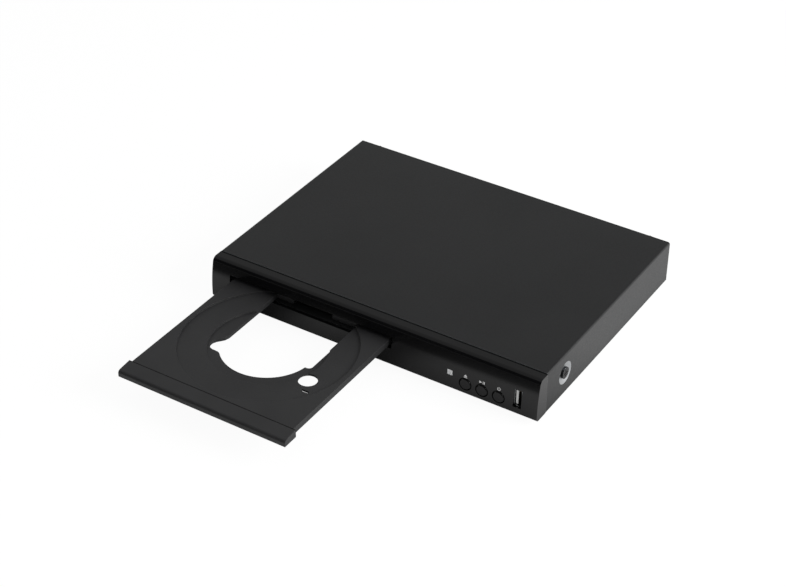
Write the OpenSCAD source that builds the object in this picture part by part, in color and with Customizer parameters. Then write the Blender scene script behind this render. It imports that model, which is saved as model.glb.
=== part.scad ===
// Compact disc player with a motor-driven disc tray, shown with the tray open.
// Millimetres, +Z up, front towards -Y. The origin lies on the table, under the middle of the
// player's length with the tray out.

/* [Case] */
// Width of the case
body_w = 260; // [250:1:290]
// Depth of the case, from the front face to the rear edge of the cover
body_d = 192; // [190:1:215]
// Height of the case above its underside
case_h = 32.3; // [32:0.1:38]
// Thickness of the steel sheets
sheet = 0.8; // [0.6:0.1:1]
// Outer radius of the bends along the cover
bend_r = 1.6; // [1.2:0.1:2.4]
// Depth of the fold along the rear edge of the cover
rear_fold = 6; // [5:0.5:8]
// Height of the feet
foot_h = 4; // [3:0.5:8]
// Radius of the feet
foot_r = 7; // [6:0.5:10]
// Distance of the feet from the sides, the front and the rear
foot_inset = 26; // [22:1:30]

/* [Side screws] */
// Distance of the side screws behind the front face
side_screw_y = 37.4; // [36:0.1:60]
// Height of the side screws above the underside
side_screw_h = 16.6; // [14:0.2:18]
// Radius of the pressed dimple round a side screw
dimple_r = 8.5; // [8:0.1:9.2]
// Depth of the dimple
dimple_depth = 1.4; // [1:0.1:1.8]
// Radius of the side screw's head
side_head_r = 4.2; // [3.5:0.1:5]

/* [Front] */
// Depth of the front moulding, from its face to the seam with the cover
bezel_d = 12.2; // [11:0.2:13]
// Height of the front moulding above the underside
bezel_h = 31.6; // [31.3:0.1:31.9]
// Wall of the front moulding
bezel_wall = 2; // [1.6:0.1:2.4]
// Radius of the gentle curve of the face
face_r = 110; // [90:1:140]
// Height of the foremost line of the face above the underside
face_mid = 5.5; // [4:0.5:10]
// Radius of the rounded upper edge of the face
brow_r = 4; // [3.2:0.1:5]
// Radius of the rounded lower edge of the face
chin_r = 2.6; // [2.5:0.1:3.2]
// How far the slot's upper lip is bevelled
slot_bevel = 2; // [1:0.1:2.4]

/* [Buttons and ports] */
// Radius of a button's cap
button_r = 4.2; // [3.8:0.1:4.5]
// Distance of the first button from the right side of the case
button_side = 53.8; // [52:0.1:56]
// Distance between neighbouring buttons
button_pitch = 12.5; // [12.3:0.1:12.8]
// Height of the buttons above the underside
button_h = 8.8; // [8.2:0.1:9]
// Press travel of a button
button_travel = 0.7; // [0.4:0.05:0.9]
// Gap round a button's cap
button_gap = 0.6; // [0.4:0.05:0.7]
// Width of the indicator window
window_w = 3.8; // [3:0.1:4.4]
// Height of the indicator window
window_h = 4; // [3:0.1:4.6]
// Distance of the indicator window from the right side of the case
window_side = 65.7; // [65:0.1:67]
// Height of the indicator window's centre above the underside
window_mid = 13.5; // [11:0.1:15]
// Distance of the data port from the right side of the case
port_side = 15; // [13:0.1:16]
// Height of the data port's centre above the underside
port_mid = 12.8; // [11:0.1:13.2]

/* [Tray] */
// Width of the tray
tray_w = 128.5; // [127:0.1:130]
// Distance of the tray from the left side of the case
tray_margin = 17.75; // [17:0.25:18.5]
// Height of the tray's top above the underside
tray_up = 20; // [19.6:0.1:20.4]
// Height of the tray's side walls
tray_h = 4.6; // [4.4:0.1:4.8]
// Travel of the tray from open to closed
tray_travel = 122; // [118:0.5:122]
// Distance of the disc's centre behind the front face with the tray closed
spindle_y = 75.8; // [74:0.1:77]
// Length of the tray behind the disc's centre
tray_tail = 93; // [90:0.5:94]
// Radius of the recess for a full-size disc
disc_r = 61; // [60.5:0.1:61.4]
// Radius of the recess for a small disc
small_disc_r = 41; // [40.5:0.1:41.5]
// Depth of each of the two recesses
recess_step = 1.2; // [1:0.05:1.3]
// Radius of the round front of the tray's window
window_front_r = 33; // [32:0.1:34]
// How far the door reaches past each side of the tray
door_side = 2; // [1.2:0.1:2.5]
// Depth of the door, from its front to the tray's top
door_d = 12; // [10:0.2:13]
// Gap round the door in its slot
door_gap = 0.5; // [0.4:0.05:0.7]

/* [Drive] */
// Module of the gear teeth
gear_module = 0.8; // [0.75:0.01:0.8]
// Teeth on the pinion that meets the tray's rack
rack_pinion_teeth = 14; // [14:2:14]
// Teeth on the large wheel below that pinion
drive_wheel_teeth = 28; // [26:2:28]
// Teeth on the pulley's pinion
pulley_pinion_teeth = 10; // [10:1:11]
// Distance of the drive gear behind the front face
drive_y = 32; // [31.5:0.1:33]
// Radius of the large pulley
pulley_r = 11; // [10:0.1:11.4]
// Radius of the motor's pulley
motor_pulley_r = 3.2; // [2.8:0.1:3.6]
// Radius of the loading motor
motor_r = 11.5; // [10:0.1:11.8]

/* [Drive unit] */
// Angle through which the drive unit drops when the tray is open
drop_deg = 4.5; // [4.4:0.05:4.6]
// Distance of the drive unit's pivot behind the front face
pivot_y = 160; // [159:0.2:161]
// Half the width of the drive unit's deck
deck_half = 46; // [45:0.2:47]
// Sideways travel of the lifting slider
lift_travel = 16; // [14:0.5:16]
// Travel of the pickup along its rods
sled_travel = 34; // [30:0.5:34]
// Radius of the turntable
turntable_r = 14.5; // [13:0.1:15]
// Radius of the clamp above the disc
clamp_r = 15; // [14:0.1:16]

/* [Rear sockets] */
// How far the round sockets stand out behind the case
jack_out = 8; // [7:0.5:9]
// Distance between the round sockets
jack_pitch = 13; // [12.5:0.1:14]

/* [Hidden] */
$fn = 64;

// Clearances: between fixed pieces, between moving ones, in a bearing, and overshoot of a cut
seat_gap = 0.1;
move_gap = 0.3;
bearing_gap = 0.05;
over = 1;

// Levels of the case
under = foot_h;
pan_top = under + sheet;
cover_top = under + case_h;
cover_in = cover_top - sheet;
cover_low = under + move_gap;
bezel_top = under + bezel_h;
half_w = body_w / 2;
flange_x = half_w - dimple_depth - sheet - seat_gap;
foot_front_shift = 2;
fold_lap = 0.2;
dimple_floor_rim = 0.5;
dimple_floor_r = side_head_r + dimple_floor_rim;
vent_count = 9;
vent_pitch = 5;
vent_w = 2.2;
vent_len = 22;
vent_x = 40;
vent_y = 22;
rear_panel_y = body_d - 2 * sheet;
whole_length = tray_travel + body_d + jack_out;
face_y = tray_travel - whole_length / 2;

// The front face is one wide arc that runs on into the arcs of its upper and lower edges
face_z = under + face_mid;
brow_z = bezel_top - brow_r;
brow_y = face_r - sqrt(pow(face_r - brow_r, 2) - pow(brow_z - face_z, 2));
chin_z = under + chin_r;
chin_y = face_r - sqrt(pow(face_r - chin_r, 2) - pow(chin_z - face_z, 2));
bezel_tongue = 5;
function meet_z(z, r, inset) = face_z + (z - face_z) * (face_r - inset) / (face_r - r);
function face_at(z, inset = 0) = face_r - sqrt(pow(face_r - inset, 2) - pow(z - face_z, 2));
function deeper(z, half) = max(face_at(z - half, bezel_wall), face_at(z + half, bezel_wall));

// Tray, at rest with the tray out
tray_x = tray_margin + tray_w / 2 - half_w;
tray_top = under + tray_up;
tray_low = tray_top - tray_h;
disc_y = spindle_y - tray_travel;
recess_floor = tray_top - recess_step;
small_recess_floor = recess_floor - recess_step;
door_w = tray_w + 2 * door_side;
door_y = -tray_travel;
tray_front = door_y + door_d;
tray_back = disc_y + tray_tail;
door_rise = 0.3;
door_top = tray_top + door_rise;
door_fall = 0.9;
door_drop = 0.8;
door_low = tray_low - door_drop;
door_skin = 2;
door_edge_r = 2.2;
slot_half = door_w / 2 + door_gap;
slot_low = door_low - door_gap;
slot_top = door_top + 2 * door_gap;
lip_y = face_at(slot_top) + slot_bevel;
collar_wall = 1.4;
collar_back = bezel_d - 2;
tongue_top = door_top - door_fall - door_skin - seat_gap;
tongue_side = 3;
skirt = 2;

// Window and holes of the tray, from the disc's centre
window_left = -29.6;
window_right = 36.8;
window_step = -5;
window_corner_r = 3;
window_back = 52;
lens_slot_half = 16;
lens_slot_back = 68;
lobe = [-29.4, -15.9];
lobe_r = 6.1;
lobe_upper = [[0, 0], [-5.2, 3.6], [-3.1, 6.1], [-1.2, 8.5], [-0.2, 11.9]];
lobe_lower = [[0, 0], [0.9, -6.05], [4.1, -6.3], [7, -7.7], [9.6, -9.6], [9.6, 0]];
finger_hole = [42.8, -16.4];
finger_hole_r = 6.6;
latch_slot = [47.7, -27];
latch_slot_half = [2.8, 0.9];
flare_top = small_recess_floor - 0.4;
flare_slope = 1.4;

// Rack and gears
gear_add = 0.8 * gear_module;
gear_ded = 1.1 * gear_module;
gear_slack = 0.09;
pressure = 20;
rack_pitch = PI * gear_module;
function pitch_r(teeth) = gear_module * teeth / 2;
rack_margin = 3;
rack_back_gap = 1.25;
rack_back_x = tray_w / 2 - skirt - rack_back_gap;
rack_wall = 2.4;
rack_line = rack_back_x - rack_wall - gear_ded;
rack_roof = recess_floor - 1.5;
drive_x = rack_line - pitch_r(rack_pinion_teeth);
groove_x = drive_x - pitch_r(rack_pinion_teeth) - gear_add - 2 * move_gap;
pulley_x = drive_x - pitch_r(drive_wheel_teeth) - pitch_r(pulley_pinion_teeth);
motor_x = -14;
motor_y = 30;
post_r = 1.5;
deck_low = pan_top + 3.2;
deck_t = 1.6;
deck_top = deck_low + deck_t;
post_collar_r = 3;
wheel_low = deck_top + 1.4;
wheel_t = 2.6;
belt_gap = 0.2;
belt_t = 1.2;
groove_d = 1;
pulley_low = wheel_low + wheel_t + move_gap + 0.7;
pulley_t = 2.4;
pulley_top = pulley_low + pulley_t;
rack_pinion_low = tray_low - 0.5;
rack_pinion_top = rack_roof - move_gap;
motor_low = pan_top + 0.6;
motor_top = pulley_low - 0.6;
shaft_r = 1;
shaft_in = 2.6;
shaft_bore = 3;

// Loader frame, measured from the tray's middle line
rail_gap = 0.5;
rail_in = tray_w / 2 + rail_gap;
rail_wall = 2.4;
rail_out = rail_in + rail_wall;
ledge_w = 3.5;
ledge_t = 2.2;
ledge_top = tray_low - move_gap;
frame_front = bezel_d + 1.8;
frame_rear_gap = 18.6;
frame_back = rear_panel_y - frame_rear_gap;
frame_top = tray_top + 4;
hook_w = 2.5;
hook_t = 1.5;
hook_len = 10;
hook_from_front = [6, 96];
hook_from_back = 19.8;
hook_starts = concat([for (y = hook_from_front) frame_front + y], frame_back - hook_from_back);
cross_y = motor_y + motor_r + 5;
cross_t = 2.5;
side_deck_lap = 0.75;
ear_w = 7;
ear_len = 9;
ear_t = 2;
ear_from_front = 4;
ear_from_back = 6;
ear_starts = [frame_front + ear_from_front, frame_back - ear_from_back - ear_len];
loader_holes = [for (s = [-1, 1]) for (y = ear_starts)
    [tray_x + s * (rail_out + ear_w / 2), y + ear_len / 2]];
loader_screw_r = 1.4;
loader_post_r = 4;
rear_bar = 6;
bracket_short = 0.6;
peg_out = 0.6;
post_out = 0.6;
bridge_bore = 8;
bridge_half_len = 16;
bridge_t = 1.2;
bridge_boss = 4;
bridge_hole_r = 10.2;
bridge_screw_r = 1;

// Lifting slider and drive unit, in the raised (playing) state
slider_t = 2.4;
slider_y = cross_y + cross_t + 0.4;
slider_low = pan_top + 0.8;
slider_top = tray_low - 0.4;
slider_ends = [-44, 28];
peg_x = 24;
peg_z = deck_top + 2.2;
peg_r = 1.5;
lift_gap = 0.4;
lift_pin_r = 1;
deck_t2 = 1.2;
deck_under = tray_low - 4;
deck_over = deck_under + deck_t2;
pivot_z = deck_under + deck_t2 / 2;
pivot_r = 2;
deck_front = slider_y + slider_t + 3.2;
deck_back = pivot_y - 4;
pin_z = deck_over + 0.2;
lift_block_half = 4;
lift_block_len = 3;
lift_block_rise = 0.2;
hinge_block = [6, 2, 3, 2.4];
pin_drop = (pivot_y - slider_y - slider_t / 2) * sin(drop_deg);
bracket_off = 7;
bracket_in = deck_half + bracket_off;
bracket_t = 3;
side_deck = rail_in - bracket_in + side_deck_lap;
bracket_half = 5;
sled_bay_half = 26;
lens_r0 = 24;
lens_y = spindle_y + lens_r0;
sled_nose = 8.8;
sled_front = lens_y - sled_nose;
sled_tail = 19;
sled_back = lens_y + sled_tail;
sled_half = sled_bay_half - 0.8;
sled_low = deck_under - 4.6;
sled_top = deck_over + 2;
bay_front = sled_front - 1;
bay_back = sled_back + sled_travel + 1;
rod_side = 22;
rod_r = 1.5;
rod_level = deck_under - 2.2;
rod_hold = 3;
rod_hold_under = 0.6;
screw_x = 32;
screw_r = 1.4;
screw_z = deck_under - 3;
screw_front = bay_front + 2;
screw_short = 7;
screw_back = bay_back - screw_short;
screw_pitch = 3;
screw_groove = 0.4;
screw_hold = [2.6, 2.4, 1.7];
screw_end = 0.2;
screw_arm_gap = 0.35;
screw_arm_len = 6;
screw_arm_inset = [0.4, 0.6];
feed_motor_len = 10;
feed_motor_bore = 3;
lens_house_r = 8;
lens_house_top = sled_top + 3.2;
lens_well_r = 6;
lens_well_d = 2.4;
lens_float = 0.8;
lens_play = 0.4;
lens_cap = 1;
sled_rib_half = 12;
lens_r = 3.5;
lens_top = lens_house_top + 1.1;
spindle_base_r = 11;
spindle_base_t = 2.4;
spindle_hub_r = 4;
spindle_floor = 0.6;
turntable_step = 2;
rotor_low = deck_over + 1.2;
seat_z = recess_floor + 1.1;
cone_h = 1.1;
cone_r = 7.2;
cone_tip_r = 6;
table_t = 2.2;

// Clamp
clamp_low = seat_z + cone_h + 0.9;
clamp_t = frame_top - move_gap - clamp_low;
clamp_neck_r = bridge_hole_r - 0.6;
clamp_flange_r = bridge_hole_r + 2.8;
clamp_flange_t = 1.2;
clamp_well_r = cone_r + 1.3;
clamp_well_d = 1.4;
magnet_r = 6.5;
magnet_t = 1.5;

// Front board and what it carries
board_t = 1.6;
front_board_y = bezel_d + 1.2;
front_board_low = under + 3.2;
front_board_rise = 20;
front_board_top = under + front_board_rise;
front_board_ends = [10, 4];
window_x = half_w - window_side;
button_x = half_w - button_side;
port_x = half_w - port_side;
front_board_x = [window_x - front_board_ends[0], half_w - front_board_ends[1]];
boss_r = 3;
boss_inset = 4;
boss_x = [front_board_x[0] + boss_inset, front_board_x[1] - boss_inset];
boss_z = front_board_top - boss_inset;
boss_bore_r = 1.1;
boss_bore = 6;
receiver_half = [2.6, 3];
receiver_t = 3;
receiver_eye_r = 1.8;
receiver_eye_gap = 2;
button_z = under + button_h;
cap_y = face_at(button_z) - 0.4;
cap_bevel = 0.5;
button_flange = [5.8, 3.4];
button_flange_y = deeper(button_z, button_flange[1]) + seat_gap;
button_flange_t = 1;
button_stem_r = 2.2;
switch_w = 6;
switch_t = 3.5;
plunger_r = 1.7;
plunger_h = 0.9;
plunger_y = front_board_y - switch_t - plunger_h;
stem_end = plunger_y - button_travel - bearing_gap;
window_z = under + window_mid;
window_rim = 1.1;
window_t = 1;
window_inset = 0.1;
window_seat = deeper(window_z, window_h / 2 + window_rim) + seat_gap;
port_z = under + port_mid;
port_w = 5.7;
port_len = 13.1;
port_skin = 0.3;
port_gap = 0.25;
port_front = 1.6;
tongue_t = 1.6;
tongue_off = 1.25;
tongue_w = 11.2;
tongue_front = port_front + 1.2;
tongue_root = front_board_y - 3.4;

// Boards
pillar_r = 3;
pillar_top = pan_top + 5.2;
pillar_bore_r = 1.3;
board_screw_r = 1.2;
board_top = pillar_top + board_t;
board_margin = 8;
main_gap = 3.85;
main_left = tray_x + rail_out + ear_w + main_gap;
side_bay = half_w - board_margin - main_left;
bay_least = 66;
main_w = 44.2 + 0.3 * (side_bay - bay_least);
power_w = 20.48 + 0.52 * (side_bay - bay_least);
main_x = [main_left, main_left + main_w];
main_front = 52;
main_y = [main_front, rear_panel_y - board_margin / 4];
power_x = [half_w - board_margin - power_w, half_w - board_margin];
power_front = 104;
power_y = [power_front, rear_panel_y - board_margin / 2];
power_len = power_y[1] - power_y[0];
board_edge = 5;
main_rear_screw = 40;
main_screws = [for (x = [main_x[0] + board_edge, main_x[1] - board_edge])
    for (y = [main_y[0] + board_edge, main_y[1] - main_rear_screw]) [x, y]];
power_screws = [for (x = [power_x[0] + board_edge, power_x[1] - board_edge])
    for (y = [power_y[0] + board_edge]) [x, y]];
video_inset = 11;
video_x = main_x[0] + video_inset;
video_w = 15;
video_h = 5.6;
video_depth = 11;
jack_step = 17;
jack_x = video_x + jack_step;
jack_count = 2;
jack_rise = 6.4;
jack_z = board_top + jack_rise;
jack_block = 10;
jack_r = 4.15;
jack_bore_r = 1.6;
jack_flange_r = 5;
inlet_x = (power_x[0] + power_x[1]) / 2;
inlet_w = 20;
inlet_h = 13;
inlet_depth = 14;
inlet_z = board_top + inlet_h / 2;
inlet_well = 9;
inlet_end_r = 4;
inlet_flat = 3;
inlet_pin_r = 1.2;
inlet_pin_side = 4.3;
inlet_pin_short = 1;
panel_gap = 0.4;
processor_half = 12;
processor_t = 1.6;
processor_at = 52;
memory_half = [5, 8];
memory_t = 1.1;
memory_side = 11;
memory_at = 26;
capacitor_r = 3.2;
capacitor_h = 8;
capacitor_pitch = 8;
capacitor_at = [14, 78];
video_skin = 0.5;
video_floor = 2;
video_tongue = [1.6, 3.2];
jack_lip = 0.6;
jack_bore = 6;
jack_back_gap = 0.4;
bobbin_half = [10, 9];
bobbin_t = 3;
winding_r = 7.5;
winding_h = 10;
transformer_at = 0.35 * power_len;
power_capacitor_r = 6;
power_capacitor_h = 14;
power_capacitor_at = [0.26 * power_w, 0.3 * power_len];
cable_t = 0.4;
cable_land = 6;
front_cable_w = 12;
front_cable_right = main_x[1] - 2 * board_edge;
front_cable_x = [front_cable_right - front_cable_w, front_cable_right];
front_cable_rise = 4;
loader_cable_w = 10;
loader_cable_at = 34;
loader_cable_y = [main_y[0] + loader_cable_at, main_y[0] + loader_cable_at + loader_cable_w];
loader_cable_rise = 6;

// Screws
head_t = 1.8;
slot_w = 0.9;
slot_d = 1;
rear_screw_inset = 16;
rear_screw_x = half_w - rear_screw_inset;
rear_screw_z = cover_top - rear_fold / 2 - 0.6;
rear_head_r = 2.6;
rear_shank_r = 1.4;
tap_gap = 0.1;
side_screw_z = under + side_screw_h;
side_shank_r = 1.6;
side_screw_len = 6;
rear_screw_len = 5;
loader_screw_len = 4.4;
board_screw_len = 5;
bridge_screw_len = 6;
bridge_head_r = 1.9;
front_screw_len = 5;
front_head_r = 2.2;
tab_half = 10;
tab_rise = 6;
flange_h = 10;

// Moves what is measured from the front face to its place round the origin
module place() { translate([0, face_y, 0]) children(); }
// The same for what is measured from the tray's middle line
module place_tray() { translate([tray_x, face_y, 0]) children(); }
// Puts a piece of the drive unit, drawn in the playing state, where it rests with the tray open
module lowered() {
    place_tray() translate([0, pivot_y, pivot_z]) rotate([drop_deg, 0, 0])
        translate([0, -pivot_y, -pivot_z]) children();
}
module block(low, high) { translate(low) cube(high - low); }
module along_x(x0, x1) {
    translate([x0, 0, 0]) rotate([90, 0, 90]) linear_extrude(x1 - x0) children();
}
module along_y(y0, y1) { translate([0, y1, 0]) rotate([90, 0, 0]) linear_extrude(y1 - y0) children(); }
module rod_y(r, y0, y1, x, z) { translate([x, y0, z]) rotate([-90, 0, 0]) cylinder(r = r, h = y1 - y0); }
module rod_x(r, x0, x1, y, z) { translate([x0, y, z]) rotate([0, 90, 0]) cylinder(r = r, h = x1 - x0); }
module cone_x(r0, r1, x0, x1, y, z) {
    translate([x0, y, z]) rotate([0, 90, 0]) cylinder(r1 = r0, r2 = r1, h = x1 - x0);
}
module rod_z(r, z0, z1, x = 0, y = 0) { translate([x, y, z0]) cylinder(r = r, h = z1 - z0); }
module both_sides() { for (s = [0, 1]) mirror([s, 0, 0]) children(); }

// A pan-head screw with a cross recess: its head's underside at the origin, its shank along -Z
module screw(head_r, shank_r, length) {
    difference() {
        rod_z(head_r, 0, head_t);
        for (a = [0, 90]) rotate([0, 0, a])
            block([-head_r * 0.6, -slot_w / 2, head_t - slot_d], [head_r * 0.6, slot_w / 2, head_t + over]);
    }
    rod_z(shank_r, -length, 0);
}

// Gear outline with involute flanks, one tooth along +X
function involute(a) = tan(a) * 180 / PI - a;
function flank(teeth, r) = let (base = pitch_r(teeth) * cos(pressure))
    90 / teeth - gear_slack / pitch_r(teeth) * 90 / PI
    + involute(pressure) - involute(acos(min(1, base / r)));
function gear_points(teeth) = let (
    low = pitch_r(teeth) - gear_ded,
    high = pitch_r(teeth) + gear_add,
    radii = [for (k = [0:4]) low + (high - low) * k / 4]
) [for (t = [0:teeth - 1]) each concat(
    [for (r = radii) let (a = 360 / teeth * t - flank(teeth, r)) r * [cos(a), sin(a)]],
    [for (k = [4:-1:0]) let (r = radii[k], a = 360 / teeth * t + flank(teeth, r)) r * [cos(a), sin(a)]]
)];
module gear(teeth, z0, z1) { translate([0, 0, z0]) linear_extrude(z1 - z0) polygon(gear_points(teeth)); }

// Outline of the cover across the case, drawn in by the given distance
module case_outline(inset, low) {
    w = half_w - inset;
    top = cover_top - inset;
    r = bend_r - inset;
    translate([-w, low]) square([2 * w, top - r - low]);
    translate([r - w, low]) square([2 * (w - r), top - low]);
    for (s = [-1, 1]) translate([s * (w - r), top - r]) circle(r);
}

// Side view of the front moulding, drawn in by the given distance and ending at the given depth
module face_outline(inset, back) {
    low = meet_z(chin_z, chin_r, inset);
    high = meet_z(brow_z, brow_r, inset);
    intersection() {
        translate([face_r, face_z]) circle(face_r - inset, $fn = 256);
        translate([-over, low]) square([back + over, high - low]);
    }
    intersection() {
        translate([brow_y, brow_z]) circle(brow_r - inset);
        translate([-over, brow_z]) square([brow_y + over, brow_r + over]);
    }
    translate([brow_y, brow_z]) square([back - brow_y, brow_r - inset]);
    intersection() {
        translate([chin_y, chin_z]) circle(chin_r - inset);
        translate([-over, under - over]) square([chin_y + over, chin_r + over]);
    }
    translate([chin_y, under + inset]) square([back - chin_y, chin_r - inset]);
}

// Sheet-steel floor with side flanges, screw tabs, vents and pillars for what it carries
module base_pan() {
    color("silver") place() difference() {
        union() {
            block([-flange_x, bezel_d + seat_gap, under], [flange_x, body_d - sheet, pan_top]);
            both_sides() {
                block(
                    [flange_x - sheet, bezel_d + seat_gap, under], [flange_x, rear_panel_y, under + flange_h]
                );
                block(
                    [flange_x - sheet, side_screw_y - tab_half, under],
                    [flange_x, side_screw_y + tab_half, side_screw_z + tab_rise]
                );
            }
            for (p = concat(main_screws, power_screws)) rod_z(pillar_r, under, pillar_top, p[0], p[1]);
            for (p = loader_holes) rod_z(loader_post_r, under, deck_low, p[0], p[1]);
        }
        for (p = concat(main_screws, power_screws))
            rod_z(pillar_bore_r, pan_top, pillar_top + over, p[0], p[1]);
        for (p = loader_holes) rod_z(loader_screw_r + tap_gap, pan_top, deck_low + over, p[0], p[1]);
        both_sides() rod_x(
            side_shank_r + tap_gap, flange_x - sheet - over, flange_x + over, side_screw_y, side_screw_z
        );
        for (k = [0:vent_count - 1]) translate([vent_x + k * vent_pitch, vent_y, under - over])
            cube([vent_w, vent_len, sheet + 2 * over]);
    }
}

// Folded steel cover: top, both sides and a fold along the rear edge
module top_cover() {
    color("#262626") place() difference() {
        union() {
            along_y(bezel_d, body_d) difference() {
                case_outline(0, cover_low);
                case_outline(sheet, cover_low - over);
            }
            block(
                [sheet - fold_lap - half_w, body_d - sheet, cover_top - rear_fold],
                [half_w - sheet + fold_lap, body_d, cover_in + fold_lap]
            );
            both_sides() cone_x(
                dimple_floor_r + sheet, dimple_r + sheet,
                half_w - dimple_depth - sheet, half_w - sheet, side_screw_y, side_screw_z
            );
        }
        both_sides() {
            cone_x(dimple_floor_r, dimple_r, half_w - dimple_depth, half_w, side_screw_y, side_screw_z);
            rod_x(dimple_r, half_w, half_w + over, side_screw_y, side_screw_z);
            rod_x(side_shank_r + tap_gap, flange_x, half_w + over, side_screw_y, side_screw_z);
            rod_y(rear_shank_r + tap_gap, body_d - 2 * sheet, body_d + over, rear_screw_x, rear_screw_z);
        }
    }
}

// Steel rear panel with its cut-outs
module rear_panel() {
    color("#262626") place() difference() {
        block([-flange_x, rear_panel_y, pan_top], [flange_x, rear_panel_y + sheet, cover_in - seat_gap]);
        for (k = [0:jack_count - 1]) rod_y(
            jack_flange_r + panel_gap, rear_panel_y - over, body_d + over, jack_x + k * jack_pitch, jack_z
        );
        block(
            [video_x - video_w / 2 - panel_gap, rear_panel_y - over, board_top - panel_gap],
            [video_x + video_w / 2 + panel_gap, body_d + over, board_top + video_h + panel_gap]
        );
        block(
            [inlet_x - inlet_w / 2 - panel_gap, rear_panel_y - over, inlet_z - inlet_h / 2 - panel_gap],
            [inlet_x + inlet_w / 2 + panel_gap, body_d + over, inlet_z + inlet_h / 2 + panel_gap]
        );
        both_sides()
            rod_y(rear_shank_r + tap_gap, rear_panel_y - over, body_d + over, rear_screw_x, rear_screw_z);
    }
}

// Glossy moulded front: a shell open at the back, with the tray's slot
module front_bezel() {
    color("#141414") place() difference() {
        union() {
            difference() {
                along_x(-half_w, half_w) face_outline(0, bezel_d);
                along_x(bezel_wall - half_w, half_w - bezel_wall) face_outline(bezel_wall, bezel_d + over);
            }
            along_x(bezel_wall - half_w, half_w - bezel_wall) polygon([
                [bezel_d - bezel_wall, bezel_top - bezel_wall],
                [bezel_d + bezel_tongue, bezel_top - bezel_wall],
                [bezel_d + bezel_tongue, cover_in - seat_gap], [bezel_d, cover_in - seat_gap],
                [bezel_d, bezel_top], [bezel_d - bezel_wall, bezel_top]
            ]);
            for (x = boss_x) rod_y(boss_r, bezel_wall, front_board_y, x, boss_z);
        }
        translate([tray_x, 0, 0]) along_x(-slot_half, slot_half) polygon([
            [-over, slot_low], [bezel_d + over, slot_low], [bezel_d + over, slot_top],
            [lip_y, slot_top], [-over, slot_top + lip_y + over]
        ]);
        for (k = [0:2]) rod_y(button_r + button_gap, -over, bezel_d, button_x + k * button_pitch, button_z);
        block(
            [window_x - window_w / 2 - seat_gap, -over, window_z - window_h / 2 - seat_gap],
            [window_x + window_w / 2 + seat_gap, bezel_d, window_z + window_h / 2 + seat_gap]
        );
        block(
            [port_x - port_w / 2 - port_gap, -over, port_z - port_len / 2 - port_gap],
            [port_x + port_w / 2 + port_gap, bezel_d, port_z + port_len / 2 + port_gap]
        );
        for (x = boss_x) rod_y(boss_bore_r, front_board_y - boss_bore, front_board_y + over, x, boss_z);
    }
}

// Dust collar round the tray, behind the slot
module slot_collar() {
    front = face_at(slot_top + collar_wall, bezel_wall) + seat_gap;
    color("#1a1a1a") place_tray() difference() {
        block(
            [-slot_half - collar_wall, front, slot_low - collar_wall],
            [slot_half + collar_wall, collar_back, slot_top + collar_wall]
        );
        block([-slot_half, front - over, slot_low], [slot_half, collar_back + over, slot_top]);
    }
}

// Four round feet
module feet() {
    color("#1c1c1c") place() for (x = [foot_inset - half_w, half_w - foot_inset])
        for (y = [foot_inset + foot_front_shift, body_d - foot_inset]) rod_z(foot_r, 0, foot_h, x, y);
}

module cover_side_screws() {
    color("#303030") place() both_sides() translate([half_w - dimple_depth, side_screw_y, side_screw_z])
        rotate([0, 90, 0]) screw(side_head_r, side_shank_r, side_screw_len);
}

module cover_rear_screws() {
    color("#303030") place() both_sides() translate([rear_screw_x, body_d, rear_screw_z])
        rotate([-90, 0, 0]) screw(rear_head_r, rear_shank_r, rear_screw_len);
}

module loader_screws() {
    color("silver") place() for (p = loader_holes) translate([p[0], p[1], deck_low + ear_t])
        screw(rear_head_r, loader_screw_r, loader_screw_len);
}

module board_screws() {
    color("silver") place() for (p = concat(main_screws, power_screws)) translate([p[0], p[1], board_top])
        screw(rear_head_r, board_screw_r, board_screw_len);
}

module bridge_screws() {
    color("silver") place_tray() both_sides()
        translate([rail_out + bridge_boss / 2, spindle_y, frame_top + bridge_t])
            screw(bridge_head_r, bridge_screw_r, bridge_screw_len);
}

module front_board_screws() {
    color("silver") place() for (x = boss_x) translate([x, front_board_y + board_t, boss_z])
        rotate([-90, 0, 0]) screw(front_head_r, boss_bore_r - tap_gap, front_screw_len);
}

// Clear window over the indicator, held by a rim behind the face
module indicator_window() {
    color("#c8c8c8") place() {
        block(
            [window_x - window_w / 2, face_at(window_z) + window_inset, window_z - window_h / 2],
            [window_x + window_w / 2, window_seat + window_t, window_z + window_h / 2]
        );
        block(
            [window_x - window_w / 2 - window_rim, window_seat, window_z - window_h / 2 - window_rim],
            [
                window_x + window_w / 2 + window_rim, window_seat + window_t,
                window_z + window_h / 2 + window_rim
            ]
        );
    }
}

// Circuit board behind the right of the front
module front_board() {
    color("#1d5b34") place() difference() {
        block(
            [front_board_x[0], front_board_y, front_board_low],
            [front_board_x[1], front_board_y + board_t, front_board_top]
        );
        for (x = boss_x)
            rod_y(boss_bore_r + tap_gap, front_board_y - over, front_board_y + board_t + over, x, boss_z);
    }
}

module tact_switches() {
    color("#202020") place() for (k = [0:2]) translate([button_x + k * button_pitch, 0, button_z]) {
        block(
            [-switch_w / 2, front_board_y - switch_t, -switch_w / 2],
            [switch_w / 2, front_board_y, switch_w / 2]
        );
        rod_y(plunger_r, plunger_y, front_board_y - switch_t, 0, 0);
    }
}

module infrared_receiver() {
    color("#181818") place() {
        block(
            [window_x - receiver_half[0], front_board_y - receiver_t, window_z - receiver_half[1]],
            [window_x + receiver_half[0], front_board_y, window_z + receiver_half[1]]
        );
        rod_y(receiver_eye_r, window_seat + receiver_eye_gap, front_board_y - receiver_t, window_x, window_z);
    }
}

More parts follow.
